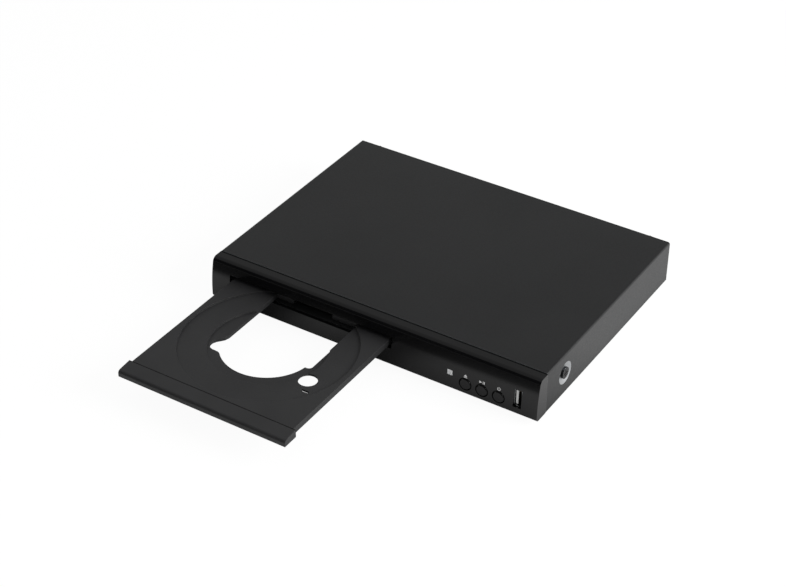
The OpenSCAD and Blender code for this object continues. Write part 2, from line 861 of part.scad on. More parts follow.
// Steel shell of the upright data port
module port_shell() {
    color("#c0c0c0") place() difference() {
        block(
            [port_x - port_w / 2, port_front, port_z - port_len / 2],
            [port_x + port_w / 2, front_board_y, port_z + port_len / 2]
        );
        block(
            [port_x - port_w / 2 + port_skin, port_front - over, port_z - port_len / 2 + port_skin],
            [port_x + port_w / 2 - port_skin, front_board_y - port_skin, port_z + port_len / 2 - port_skin]
        );
    }
}

// Insulating tongue of the data port
module port_tongue() {
    wide = port_w / 2 - port_skin - bearing_gap;
    tall = port_len / 2 - port_skin - bearing_gap;
    color("#f0f0f0") place() {
        block(
            [port_x - wide, tongue_root, port_z - tall],
            [port_x + wide, front_board_y - port_skin, port_z + tall]
        );
        block(
            [port_x - tongue_off - tongue_t / 2, tongue_front, port_z - tongue_w / 2],
            [port_x - tongue_off + tongue_t / 2, tongue_root, port_z + tongue_w / 2]
        );
    }
}

module main_board() {
    color("#1d5b34") place() difference() {
        block([main_x[0], main_y[0], pillar_top], [main_x[1], main_y[1], board_top]);
        for (p = main_screws) rod_z(board_screw_r + tap_gap, pillar_top - over, board_top + over, p[0], p[1]);
    }
}

module main_processor() {
    color("#101010") place() translate([(main_x[0] + main_x[1]) / 2, main_y[0] + processor_at, board_top])
        block([-processor_half, -processor_half, 0], [processor_half, processor_half, processor_t]);
}

module memory_chips() {
    color("#101010") place() for (s = [-1, 1])
        translate([(main_x[0] + main_x[1]) / 2 + s * memory_side, main_y[0] + memory_at, board_top])
            block([-memory_half[0], -memory_half[1], 0], [memory_half[0], memory_half[1], memory_t]);
}

module board_capacitors() {
    color("#1a1a1a") place() for (k = [0:3]) rod_z(
        capacitor_r, board_top, board_top + capacitor_h,
        main_x[0] + capacitor_at[0] + k * capacitor_pitch, main_y[0] + capacitor_at[1]
    );
}

// Video socket on the main board, its mouth at the rear panel
module video_socket() {
    color("#b8b8b8") place() difference() {
        block(
            [video_x - video_w / 2, body_d - video_depth, board_top],
            [video_x + video_w / 2, body_d, board_top + video_h]
        );
        block(
            [video_x - video_w / 2 + video_skin, body_d - video_depth + video_floor, board_top + video_skin],
            [video_x + video_w / 2 - video_skin, body_d + over, board_top + video_tongue[0]]
        );
        block(
            [
                video_x - video_w / 2 + video_skin, body_d - video_depth + video_floor,
                board_top + video_tongue[1]
            ],
            [video_x + video_w / 2 - video_skin, body_d + over, board_top + video_h - video_skin]
        );
    }
}

// Round signal sockets on the main board
module round_sockets() {
    back = rear_panel_y - jack_back_gap;
    color("#d8b23c") place() for (k = [0:jack_count - 1]) translate([jack_x + k * jack_pitch, 0, 0])
        difference() {
            union() {
                block(
                    [-jack_block / 2, back - jack_block, board_top],
                    [jack_block / 2, back, jack_z + jack_block / 2]
                );
                rod_y(jack_flange_r, back - seat_gap, body_d + jack_lip, 0, jack_z);
                rod_y(jack_r, body_d, body_d + jack_out, 0, jack_z);
            }
            rod_y(jack_bore_r, body_d - jack_bore, body_d + jack_out + over, 0, jack_z);
        }
}

module power_board() {
    color("#8a6a34") place() difference() {
        block([power_x[0], power_y[0], pillar_top], [power_x[1], power_y[1], board_top]);
        for (p = power_screws)
            rod_z(board_screw_r + tap_gap, pillar_top - over, board_top + over, p[0], p[1]);
    }
}

module power_transformer() {
    color("#d6c24a") place() translate([inlet_x, power_y[0] + transformer_at, board_top]) {
        for (z = [0, bobbin_t + winding_h])
            block([-bobbin_half[0], -bobbin_half[1], z], [bobbin_half[0], bobbin_half[1], z + bobbin_t]);
        rod_z(winding_r, bobbin_t, bobbin_t + winding_h);
    }
}

module power_capacitor() {
    color("#23324a") place() rod_z(
        power_capacitor_r, board_top, board_top + power_capacitor_h,
        power_x[0] + power_capacitor_at[0], power_y[1] - power_capacitor_at[1]
    );
}

// Two-pin mains inlet on the power board
module mains_inlet() {
    color("#161616") place() difference() {
        block(
            [inlet_x - inlet_w / 2, body_d - inlet_depth, board_top],
            [inlet_x + inlet_w / 2, body_d, board_top + inlet_h]
        );
        for (s = [-1, 1])
            rod_y(inlet_end_r, body_d - inlet_well, body_d + over, inlet_x + s * inlet_end_r, inlet_z);
        block(
            [inlet_x - inlet_end_r, body_d - inlet_well, inlet_z - inlet_flat],
            [inlet_x + inlet_end_r, body_d + over, inlet_z + inlet_flat]
        );
    }
    color("silver") place() for (s = [-1, 1]) rod_y(
        inlet_pin_r, body_d - inlet_well, body_d - inlet_pin_short, inlet_x + s * inlet_pin_side, inlet_z
    );
}

// Flat cable from the front board back to the main board
module front_cable() {
    front = front_board_y + board_t;
    back = main_y[0] + cable_land;
    top = board_top + front_cable_rise;
    color("#e6e6e6") place() along_x(front_cable_x[0], front_cable_x[1]) polygon([
        [front, top], [front, board_top], [back, board_top],
        [back, board_top + cable_t], [front + cable_t, board_top + cable_t], [front + cable_t, top]
    ]);
}

// Flat cable from the main board to the loader's deck
module loader_cable() {
    left = tray_x + rail_out;
    right = main_x[0] + cable_land;
    top = board_top + loader_cable_rise;
    color("#e6e6e6") place() along_y(loader_cable_y[0], loader_cable_y[1]) polygon([
        [right, board_top], [right, board_top + cable_t], [left + cable_t, board_top + cable_t],
        [left + cable_t, top], [left, top], [left, board_top]
    ]);
}

// Moulded frame of the loader: rails for the tray, decks, posts and pivots
module loader_frame() {
    color("#3a3a3a") place_tray() difference() {
        union() {
            block([-rail_in, frame_front, deck_low], [rail_in, cross_y + cross_t, deck_top]);
            block([-rail_in, frame_back - rear_bar, deck_low], [rail_in, frame_back, deck_top]);
            block([-deck_half, cross_y, deck_low], [deck_half, cross_y + cross_t, slider_top]);
            both_sides() {
                block([rail_in, frame_front, deck_low], [rail_out, frame_back, frame_top]);
                block([rail_in - side_deck, cross_y, deck_low], [rail_in, frame_back, deck_top]);
                block(
                    [rail_in - ledge_w, frame_front, ledge_top - ledge_t], [rail_in, frame_back, ledge_top]
                );
                for (y = hook_starts) block(
                    [rail_in - hook_w, y, tray_top + move_gap],
                    [rail_in, y + hook_len, tray_top + move_gap + hook_t]
                );
                block(
                    [rail_out, spindle_y - bridge_boss, deck_low],
                    [rail_out + bridge_boss, spindle_y + bridge_boss, frame_top]
                );
                for (y = ear_starts)
                    block([rail_out, y, deck_low], [rail_out + ear_w, y + ear_len, deck_low + ear_t]);
                block(
                    [bracket_in, pivot_y - bracket_half, deck_low],
                    [bracket_in + bracket_t, pivot_y + bracket_half, slider_top - bracket_short]
                );
                rod_y(peg_r, cross_y + cross_t, slider_y + slider_t + peg_out, peg_x, peg_z);
            }
            for (x = [drive_x, pulley_x]) rod_z(post_collar_r, deck_top, wheel_low - seat_gap, x, drive_y);
            rod_z(post_r, deck_top, rack_pinion_top, drive_x, drive_y);
            rod_z(post_r, deck_top, pulley_top + post_out, pulley_x, drive_y);
        }
        rod_z(motor_r + seat_gap, deck_low - over, deck_top + over, motor_x, motor_y);
        both_sides() {
            rod_x(pivot_r + bearing_gap, bracket_in - over, bracket_in + bracket_t + over, pivot_y, pivot_z);
            rod_z(
                bridge_screw_r + tap_gap, frame_top - bridge_bore, frame_top + over,
                rail_out + bridge_boss / 2, spindle_y
            );
            for (y = ear_starts) rod_z(
                loader_screw_r + 2 * tap_gap, deck_low - over, deck_low + ear_t + over,
                rail_out + ear_w / 2, y + ear_len / 2
            );
        }
    }
}

// Small motor set into the front deck
module loading_motor() {
    color("silver") place_tray() difference() {
        rod_z(motor_r, motor_low, motor_top, motor_x, motor_y);
        rod_z(shaft_r + bearing_gap, motor_top - shaft_bore, motor_top + over, motor_x, motor_y);
    }
}

// Outline round both pulleys, the given distance outside the floors of their grooves
module belt_loop(out) {
    hull() {
        translate([pulley_x, drive_y]) circle(pulley_r - groove_d + out);
        translate([motor_x, motor_y]) circle(motor_pulley_r - groove_d + out);
    }
}

// Rubber belt from the motor's pulley to the large pulley
module drive_belt() {
    low = pulley_low + (pulley_t - belt_t) / 2;
    color("#151515") place_tray() translate([0, 0, low]) linear_extrude(belt_t) difference() {
        belt_loop(belt_gap + belt_t);
        belt_loop(belt_gap);
    }
}

// Steel bridge across the loader, over the disc
module clamp_bridge() {
    color("silver") place_tray() difference() {
        block(
            [-rail_out - bridge_boss, spindle_y - bridge_half_len, frame_top],
            [rail_out + bridge_boss, spindle_y + bridge_half_len, frame_top + bridge_t]
        );
        rod_z(bridge_hole_r, frame_top - over, frame_top + bridge_t + over, 0, spindle_y);
        both_sides() rod_z(
            bridge_screw_r + tap_gap, frame_top - over, frame_top + bridge_t + over,
            rail_out + bridge_boss / 2, spindle_y
        );
    }
}

// Window of the tray, from the disc's centre
module tray_window() {
    intersection() {
        circle(window_front_r);
        translate([window_left, -window_front_r]) square([window_front_r - window_left, window_front_r]);
    }
    translate([window_left, window_step])
        square([window_right - window_left - window_corner_r, window_back - window_step]);
    translate([window_left, window_step + window_corner_r])
        square([window_right - window_left, window_back - window_step - window_corner_r]);
    translate([window_right - window_corner_r, window_step + window_corner_r]) circle(window_corner_r);
    translate([-lens_slot_half, 0]) square([2 * lens_slot_half, lens_slot_back]);
    translate(lobe) polygon(lobe_upper);
    translate(lobe) polygon(lobe_lower);
    translate(lobe) circle(lobe_r);
}

// Teeth of the rack, pointing away from the tray's side wall
module rack_outline() {
    first = -ceil(tray_travel / rack_pitch) - rack_margin;
    lean = tan(pressure);
    half = rack_pitch / 4 - gear_slack / 2;
    tip = half - gear_add * lean;
    root = half + gear_ded * lean;
    x0 = rack_line - gear_add;
    x1 = rack_line + gear_ded;
    for (k = [first:rack_margin - 1]) let (y = drive_y + (k + 0.5) * rack_pitch)
        polygon([[x0, y - tip], [x0, y + tip], [x1, y + root], [x1, y - root]]);
    translate([x1, drive_y + first * rack_pitch])
        square([rack_wall, (rack_margin - first) * rack_pitch]);
}

// Moulded tray with its two disc recesses, window, guide walls and rack
module disc_tray() {
    half = tray_w / 2;
    color("#1e1e1e") place_tray() {
        difference() {
            union() {
                block([-half, tray_front, tray_low], [half, tray_back, tray_top]);
                block(
                    [tongue_side - half, door_y + door_skin + seat_gap, tray_low],
                    [half - tongue_side, tray_front, tongue_top]
                );
            }
            translate([0, disc_y, 0]) {
                rod_z(disc_r, recess_floor, tray_top + over);
                rod_z(small_disc_r, small_recess_floor, tray_top + over);
                translate([0, 0, tray_low - over]) linear_extrude(tray_h + 2 * over) tray_window();
                rod_z(finger_hole_r, tray_low - over, tray_top + over, finger_hole[0], finger_hole[1]);
                translate([finger_hole[0], finger_hole[1], tray_low]) cylinder(
                    h = flare_top - tray_low, r1 = finger_hole_r + flare_slope * (flare_top - tray_low),
                    r2 = finger_hole_r
                );
                translate(latch_slot) block(
                    [-latch_slot_half[0], -latch_slot_half[1], tray_low - over],
                    [latch_slot_half[0], latch_slot_half[1], tray_top + over]
                );
                translate(latch_slot) block(
                    [-latch_slot_half[0] - flare_slope, -latch_slot_half[1], tray_low - over],
                    [latch_slot_half[0], latch_slot_half[1] + 2 * flare_slope, flare_top]
                );
            }
            for (s = [-1, 1]) block(
                [s > 0 ? groove_x : -rack_back_x, tray_front + skirt, tray_low - over],
                [s > 0 ? rack_back_x : -groove_x, tray_back + over, rack_roof]
            );
        }
        translate([0, 0, tray_low]) linear_extrude(rack_roof - tray_low) rack_outline();
    }
}

// Trim that closes the slot when the tray is in
module tray_door() {
    half = door_w / 2;
    color("#202020") place_tray() difference() {
        union() {
            along_x(-half, half) polygon([
                [door_y, door_low], [door_y + door_d, door_low], [door_y + door_d, door_top],
                [door_y + door_edge_r, door_top - door_fall], [door_y, door_top - door_fall - door_edge_r]
            ]);
            along_x(-half, half) translate([door_y + door_edge_r, door_top - door_fall - door_edge_r])
                circle(door_edge_r);
        }
        block(
            [door_skin - half, door_y + door_skin, door_low - over],
            [half - door_skin, door_y + door_d + over, door_top - door_fall - door_skin]
        );
    }
}

// Wheel with the pinion that drives the tray's rack
module drive_gear() {
    color("#e9e4d4") place_tray() translate([drive_x, drive_y, 0]) difference() {
        union() {
            gear(drive_wheel_teeth, wheel_low, wheel_low + wheel_t);
            rod_z(post_collar_r, wheel_low, rack_pinion_low);
            gear(rack_pinion_teeth, rack_pinion_low, rack_pinion_top);
        }
        rod_z(post_r + bearing_gap, wheel_low - over, rack_pinion_top + over);
    }
}

// Large pulley with the pinion that turns the drive gear
module pulley_gear() {
    color("#e9e4d4") place_tray() translate([pulley_x, drive_y, 0]) difference() {
        union() {
            rotate([0, 0, 180 / pulley_pinion_teeth]) gear(pulley_pinion_teeth, wheel_low, pulley_low);
            grooved_pulley(pulley_r);
        }
        rod_z(post_r + bearing_gap, wheel_low - over, pulley_top + over);
    }
}
module grooved_pulley(r) {
    difference() {
        rod_z(r, pulley_low, pulley_top);
        translate([0, 0, pulley_low + (pulley_t - belt_t) / 2 - belt_gap]) difference() {
            cylinder(r = r + over, h = belt_t + 2 * belt_gap);
            translate([0, 0, -over]) cylinder(r = r - groove_d, h = belt_t + 2 * belt_gap + 2 * over);
        }
    }
}

// The motor's shaft with its pulley
module motor_pulley() {
    color("#d8b45a") place_tray() translate([motor_x, motor_y, 0]) {
        grooved_pulley(motor_pulley_r);
        rod_z(shaft_r, motor_top - shaft_in, pulley_low);
    }
}

// Slider whose slanted slot lifts the front of the drive unit
module lift_slider() {
    low = pin_z - pin_drop;
    rise = pin_z - low;
    slot_r = lift_pin_r + lift_gap;
    color("#f0f0ea") place_tray() difference() {
        block([slider_ends[0], slider_y, slider_low], [slider_ends[1], slider_y + slider_t, slider_top]);
        for (p = [[0, low], [-lift_travel, pin_z]])
            rod_y(slot_r, slider_y - over, slider_y + slider_t + over, p[0], p[1]);
        translate([0, slider_y - over, low]) rotate([0, 180 + atan2(rise, lift_travel), 0])
            block([0, 0, -slot_r], [norm([lift_travel, rise]), slider_t + 2 * over, slot_r]);
        for (s = [-1, 1]) {
            for (x = [s * peg_x - lift_travel, s * peg_x])
                rod_y(peg_r + move_gap, slider_y - over, slider_y + slider_t + over, x, peg_z);
            block(
                [s * peg_x - lift_travel, slider_y - over, peg_z - peg_r - move_gap],
                [s * peg_x, slider_y + slider_t + over, peg_z + peg_r + move_gap]
            );
        }
    }
}

// Steel deck of the drive unit, with its pivot pins, lifting pin and rod holders
module traverse_deck() {
    color("#8f9296") lowered() difference() {
        union() {
            block([-deck_half, deck_front, deck_under], [deck_half, deck_back, deck_over]);
            block(
                [-lift_block_half, deck_front, deck_under],
                [lift_block_half, deck_front + lift_block_len, pin_z + lift_pin_r + lift_block_rise]
            );
            rod_y(lift_pin_r, slider_y + lift_gap, deck_front + over, 0, pin_z);
            both_sides() {
                block(
                    [deck_half - hinge_block[0], deck_back - hinge_block[1], pivot_z - hinge_block[3]],
                    [deck_half, pivot_y + hinge_block[2], pivot_z + hinge_block[3]]
                );
                rod_x(pivot_r, deck_half - over, bracket_in + bracket_t + move_gap, pivot_y, pivot_z);
                for (y = [bay_front - rod_hold, bay_back]) block(
                    [rod_side - rod_hold, y, rod_level - rod_r - rod_hold_under],
                    [rod_side + rod_hold, y + rod_hold, deck_under]
                );
            }
            block(
                [screw_x - screw_hold[0], screw_front - screw_hold[1], screw_z - screw_hold[2]],
                [screw_x + screw_hold[0], screw_front, deck_under]
            );
        }
        block([-sled_bay_half, bay_front, deck_under - over], [sled_bay_half, bay_back, deck_over + over]);
        rod_z(spindle_hub_r + seat_gap, deck_under - over, deck_over + over, 0, spindle_y);
        both_sides() rod_y(
            rod_r + bearing_gap, bay_front - rod_hold - over, bay_back + rod_hold + over, rod_side, rod_level
        );
        rod_y(
            screw_r - screw_groove + bearing_gap, screw_front - screw_hold[1] - over, screw_front + over,
            screw_x, screw_z
        );
    }
}

module guide_rods() {
    color("#c8c8c8") lowered() both_sides()
        rod_y(rod_r, bay_front - rod_hold, bay_back + rod_hold, rod_side, rod_level);
}

// Fixed part of the spindle motor, under the deck, with its bearing
module spindle_motor() {
    color("#70747a") lowered() translate([0, spindle_y, 0]) difference() {
        union() {
            rod_z(spindle_base_r, deck_under - spindle_base_t, deck_under);
            rod_z(spindle_hub_r, deck_under, rotor_low - move_gap);
        }
        rod_z(shaft_r + bearing_gap, deck_under - spindle_base_t + spindle_floor, rotor_low);
    }
}

// Slim motor that turns the feed screw
module feed_motor() {
    color("silver") lowered() difference() {
        rod_y(deck_under - screw_z, screw_back, screw_back + feed_motor_len, screw_x, screw_z);
        rod_y(
            screw_r - screw_groove + bearing_gap, screw_back - over, screw_back + feed_motor_bore,
            screw_x, screw_z
        );
    }
}

// Rotor, disc seat and centring cone
module turntable() {
    color("#404040") lowered() translate([0, spindle_y, 0]) {
        rod_z(shaft_r, deck_under - spindle_base_t + spindle_floor + bearing_gap, rotor_low);
        rod_z(turntable_r - turntable_step, rotor_low, seat_z - table_t);
        rod_z(turntable_r, seat_z - table_t, seat_z);
        translate([0, 0, seat_z]) cylinder(r1 = cone_r, r2 = cone_tip_r, h = cone_h);
    }
}

// Pickup that runs on the two rods, with the arm that follows the feed screw
module pickup_sled() {
    color("#4a4d52") lowered() difference() {
        union() {
            block([-sled_half, sled_front, sled_low], [sled_half, sled_back, sled_top]);
            block(
                [sled_half, lens_y, sled_low + screw_arm_inset[0]],
                [screw_x - screw_r - screw_arm_gap, lens_y + screw_arm_len, deck_under - screw_arm_inset[1]]
            );
            rod_z(lens_house_r, sled_top, lens_house_top, 0, lens_y);
        }
        both_sides() rod_y(rod_r + bearing_gap, sled_front - over, sled_back + over, rod_side, rod_level);
        rod_z(lens_well_r, lens_house_top - lens_well_d, lens_house_top + over, 0, lens_y);
        both_sides() block(
            [sled_rib_half, sled_front - over, deck_over],
            [sled_half + over, sled_back + over, sled_top + over]
        );
    }
}

// Screw that carries the pickup along, drawn as a grooved shaft
module feed_screw() {
    turns = floor((screw_back - screw_front - 2 * screw_pitch) / screw_pitch);
    color("#d8d8d8") lowered() {
        rod_y(
            screw_r - screw_groove, screw_front - screw_hold[1] + screw_end,
            screw_back + feed_motor_bore - 2 * screw_end, screw_x, screw_z
        );
        for (k = [0:turns]) let (y = screw_front + screw_pitch / 2 + k * screw_pitch)
            rod_y(screw_r, y, y + screw_pitch / 2, screw_x, screw_z);
    }
}

// Lens in its moving holder
module objective_lens() {
    low = lens_house_top - lens_well_d + lens_float;
    color("#6f86b8") lowered() translate([0, lens_y, 0]) {
        rod_z(lens_well_r - lens_play, low, lens_top - lens_cap);
        rod_z(lens_r, lens_top - lens_cap, lens_top);
    }
}

// Clamp that presses the disc on the turntable, hung in the bridge
module clamp_puck() {
    top = frame_top + bridge_t + move_gap;
    color("#2b2b2b") place_tray() translate([0, spindle_y, 0]) difference() {
        union() {
            rod_z(clamp_r, clamp_low, clamp_low + clamp_t);
            rod_z(clamp_neck_r, clamp_low, top);
            rod_z(clamp_flange_r, top, top + clamp_flange_t);
        }
        rod_z(clamp_well_r, clamp_low - over, clamp_low + clamp_well_d);
        rod_z(magnet_r, clamp_low, clamp_low + clamp_well_d + magnet_t);
    }
}

module clamp_magnet() {
    low = clamp_low + clamp_well_d;
    color("#9a9a9a") place_tray() translate([0, spindle_y, 0])
        rod_z(magnet_r - bearing_gap, low, low + magnet_t);
}

// Round push button with a bar that keeps it behind the face
module push_button(k) {
    color("#181818") place() translate([button_x + k * button_pitch, 0, button_z]) {
        rotate([-90, 0, 0]) rotate_extrude() polygon([
            [0, cap_y], [button_r - cap_bevel, cap_y], [button_r, cap_y + cap_bevel],
            [button_r, button_flange_y], [0, button_flange_y]
        ]);
        block(
            [-button_flange[0], button_flange_y, -button_flange[1]],
            [button_flange[0], button_flange_y + button_flange_t, button_flange[1]]
        );
        rod_y(button_stem_r, button_flange_y + button_flange_t, stem_end, 0, 0);
    }
}
module eject_button() { push_button(0); }
module play_button() { push_button(1); }
module power_button() { push_button(2); }

base_pan();
top_cover();
rear_panel();
front_bezel();
slot_collar();
feet();
cover_side_screws();
cover_rear_screws();
loader_screws();
board_screws();
bridge_screws();
front_board_screws();
indicator_window();
front_board();
tact_switches();
infrared_receiver();
port_shell();
port_tongue();
main_board();
main_processor();
memory_chips();
board_capacitors();
video_socket();
round_sockets();
power_board();
power_transformer();
power_capacitor();
mains_inlet();
front_cable();
loader_cable();
loader_frame();
loading_motor();
drive_belt();
clamp_bridge();
disc_tray();
tray_door();
drive_gear();
pulley_gear();
motor_pulley();
lift_slider();
traverse_deck();
guide_rods();
spindle_motor();
feed_motor();
turntable();
pickup_sled();
feed_screw();
objective_lens();
clamp_puck();
clamp_magnet();
eject_button();
play_button();
power_button();
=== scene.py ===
import math

import bmesh
import bpy
from mathutils import Matrix, Vector


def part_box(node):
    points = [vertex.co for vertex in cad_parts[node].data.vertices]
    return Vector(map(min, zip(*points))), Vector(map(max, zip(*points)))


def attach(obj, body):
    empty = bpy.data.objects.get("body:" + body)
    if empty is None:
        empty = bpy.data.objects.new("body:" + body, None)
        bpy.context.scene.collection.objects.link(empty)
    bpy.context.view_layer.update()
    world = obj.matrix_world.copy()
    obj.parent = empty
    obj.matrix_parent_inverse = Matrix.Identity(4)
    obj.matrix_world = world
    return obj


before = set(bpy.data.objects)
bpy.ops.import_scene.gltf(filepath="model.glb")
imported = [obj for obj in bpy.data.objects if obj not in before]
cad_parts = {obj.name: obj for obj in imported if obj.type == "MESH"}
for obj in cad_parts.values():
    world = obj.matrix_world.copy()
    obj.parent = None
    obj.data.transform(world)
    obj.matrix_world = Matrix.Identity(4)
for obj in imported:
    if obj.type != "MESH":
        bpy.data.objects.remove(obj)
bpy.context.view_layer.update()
scene = bpy.context.scene
mm = 0.001


# camera and studio

view = {
    "place": (0.5514, -0.88536, 0.77116),
    "right": (0.8443651, 0.53572696, 0.00664812),
    "up": (-0.31405927, 0.48486288, 0.81625655),
    "lens": 86.014,
    "sensor": 36.0,
    "clip": (0.05, 60),
}
studio = {
    "floorSide": 5.0,
    "floorFront": -1.4,          # the paper ends here, in front of the set
    "floorRear": 6.0,
    "floorGlow": 0.9,            # share of plain white that the camera sees in the floor
    "floorPower": 1.05,
    "floorShade": "#f4f4f4",
    "shadowReach": 0.2,          # how far round the set the floor looks darker in gloss
    "shadowDepth": 1.8,          # power that deepens this shadow
    "shadowSamples": 8,
    "flatRay": (0.6, 0.675),     # flatter rays from gloss find the floor dark, a painted shade for its far, unlit part
    "rayTone": (0.74, 0.02),     # the floor's brightness for steep rays and for flat ones
    "rightShare": (0.8, 0.0),    # share of all this shading right of the set, at its front and rear
    "rightFade": (-0.03, 0.06),  # where along the set that share changes
    "rightEdge": 0.005,          # half the width of the change at the set's right side
    "ambient": 0.4,
    "darkRoom": "#323234",       # unlit room in front of and above the set, seen only in gloss
    "roomLevel": (-0.1, 0.06),   # the ray's rise over which it begins
    "roomFront": (-0.38, -0.5),  # the ray's depth over which it begins
    "rearWall": "#9b9b9b",       # wall high behind the set, seen only in gloss
    "wallLevel": (0.02, 0.45),   # the ray's rise over which it begins
    "keyPlace": (1.2, 0.25, 0.62),
    "keyAim": (0, 0, 0.02),
    "keySize": 0.8,
    "keyPower": 17.0,
}
white = (1, 1, 1, 1)
beyond = 1.0                     # m, past every side of the set
# settings that many nodes share
rgbMix = {"data_type": "RGBA"}
product = {"operation": "MULTIPLY"}
smooth = {"interpolation_type": "SMOOTHSTEP"}


def hexColour(code):
    parts = [int(code[i:i + 2], 16) / 255 for i in (1, 3, 5)]
    linear = [c / 12.92 if c <= 0.04045 else ((c + 0.055) / 1.055) ** 2.4 for c in parts]
    return (*linear, 1.0)


# adds a node: settings are its own, a socket takes a value or a link
def addNode(tree, kind, settings=None, sockets=None):
    node = tree.nodes.new(kind)
    for key, value in (settings or {}).items():
        setattr(node, key, value)
    for key, value in (sockets or {}).items():
        if isinstance(value, bpy.types.NodeSocket):
            tree.links.new(value, node.inputs[key])
        else:
            node.inputs[key].default_value = value
    return node


def placeCamera():
    right, up = Vector(view["right"]).normalized(), Vector(view["up"]).normalized()
    back = right.cross(up).normalized()
    up = back.cross(right)
    data = bpy.data.cameras.new("photoView")
    data.lens = view["lens"]
    data.sensor_width = view["sensor"]
    data.clip_start, data.clip_end = view["clip"]
    camera = bpy.data.objects.new("photoView", data)
    turned = Matrix((right, up, back)).transposed().to_4x4()
    camera.matrix_world = Matrix.Translation(view["place"]) @ turned
    scene.collection.objects.link(camera)
    scene.camera = camera


def hangSoftbox(name, place, size, power):
    data = bpy.data.lights.new(name, "AREA")
    data.shape = "SQUARE"
    data.size, data.energy = size, power
    lamp = bpy.data.objects.new(name, data)
    aim = Vector(studio["keyAim"]) - Vector(place)
    lamp.matrix_world = Matrix.Translation(place) @ aim.to_track_quat("-Z", "Y").to_matrix().to_4x4()
    scene.collection.objects.link(lamp)


# the rays that find plain white ground: the camera's, and those from gloss and glass
def groundRays(tree):
    path = addNode(tree, "ShaderNodeLightPath")
    either = addNode(tree, "ShaderNodeMath", {"operation": "MAXIMUM"},
                     {0: path.outputs["Is Camera Ray"], 1: path.outputs["Is Transmission Ray"]})
    return path, addNode(tree, "ShaderNodeMath", {"operation": "MAXIMUM"},
                         {0: either.outputs[0], 1: path.outputs["Is Glossy Ray"]}).outputs[0]


def lightRoom():
    world = bpy.data.worlds.new("studioRoom")
    scene.world = world
    world.use_nodes = True
    tree = world.node_tree
    tree.nodes.clear()
    ray = addNode(tree, "ShaderNodeTexCoord")
    axis = addNode(tree, "ShaderNodeSeparateXYZ", None, {0: ray.outputs["Generated"]})
    begin, full = studio["roomLevel"]
    high = addNode(tree, "ShaderNodeMapRange", smooth,
                   {"Value": axis.outputs["Z"], "From Min": begin, "From Max": full})
    begin, full = studio["roomFront"]
    front = addNode(tree, "ShaderNodeMapRange", smooth,
                    {"Value": axis.outputs["Y"], "From Min": begin, "From Max": full})
    dark = addNode(tree, "ShaderNodeMath", product, {0: high.outputs[0], 1: front.outputs[0]})
    path, ground = groundRays(tree)
    gloss = addNode(tree, "ShaderNodeMath", product, {0: dark.outputs[0], 1: path.outputs["Is Glossy Ray"]})
    begin, full = studio["wallLevel"]
    above = addNode(tree, "ShaderNodeMapRange", smooth,
                    {"Value": axis.outputs["Z"], "From Min": begin, "From Max": full})
    wall = addNode(tree, "ShaderNodeMath", product, {0: above.outputs[0], 1: path.outputs["Is Glossy Ray"]})
    paper = addNode(tree, "ShaderNodeMix", rgbMix,
                    {0: wall.outputs[0], 6: white, 7: hexColour(studio["rearWall"])})
    room = addNode(tree, "ShaderNodeMix", rgbMix,
                   {0: gloss.outputs[0], 6: paper.outputs[2], 7: hexColour(studio["darkRoom"])})
    seen = addNode(tree, "ShaderNodeBackground", None, {"Color": room.outputs[2], "Strength": 1.0})
    lit = addNode(tree, "ShaderNodeBackground", None,
                  {"Color": white, "Strength": studio["ambient"]})
    both = addNode(tree, "ShaderNodeMixShader", None, {0: ground, 1: lit.outputs[0], 2: seen.outputs[0]})
    addNode(tree, "ShaderNodeOutputWorld", None, {"Surface": both.outputs[0]})


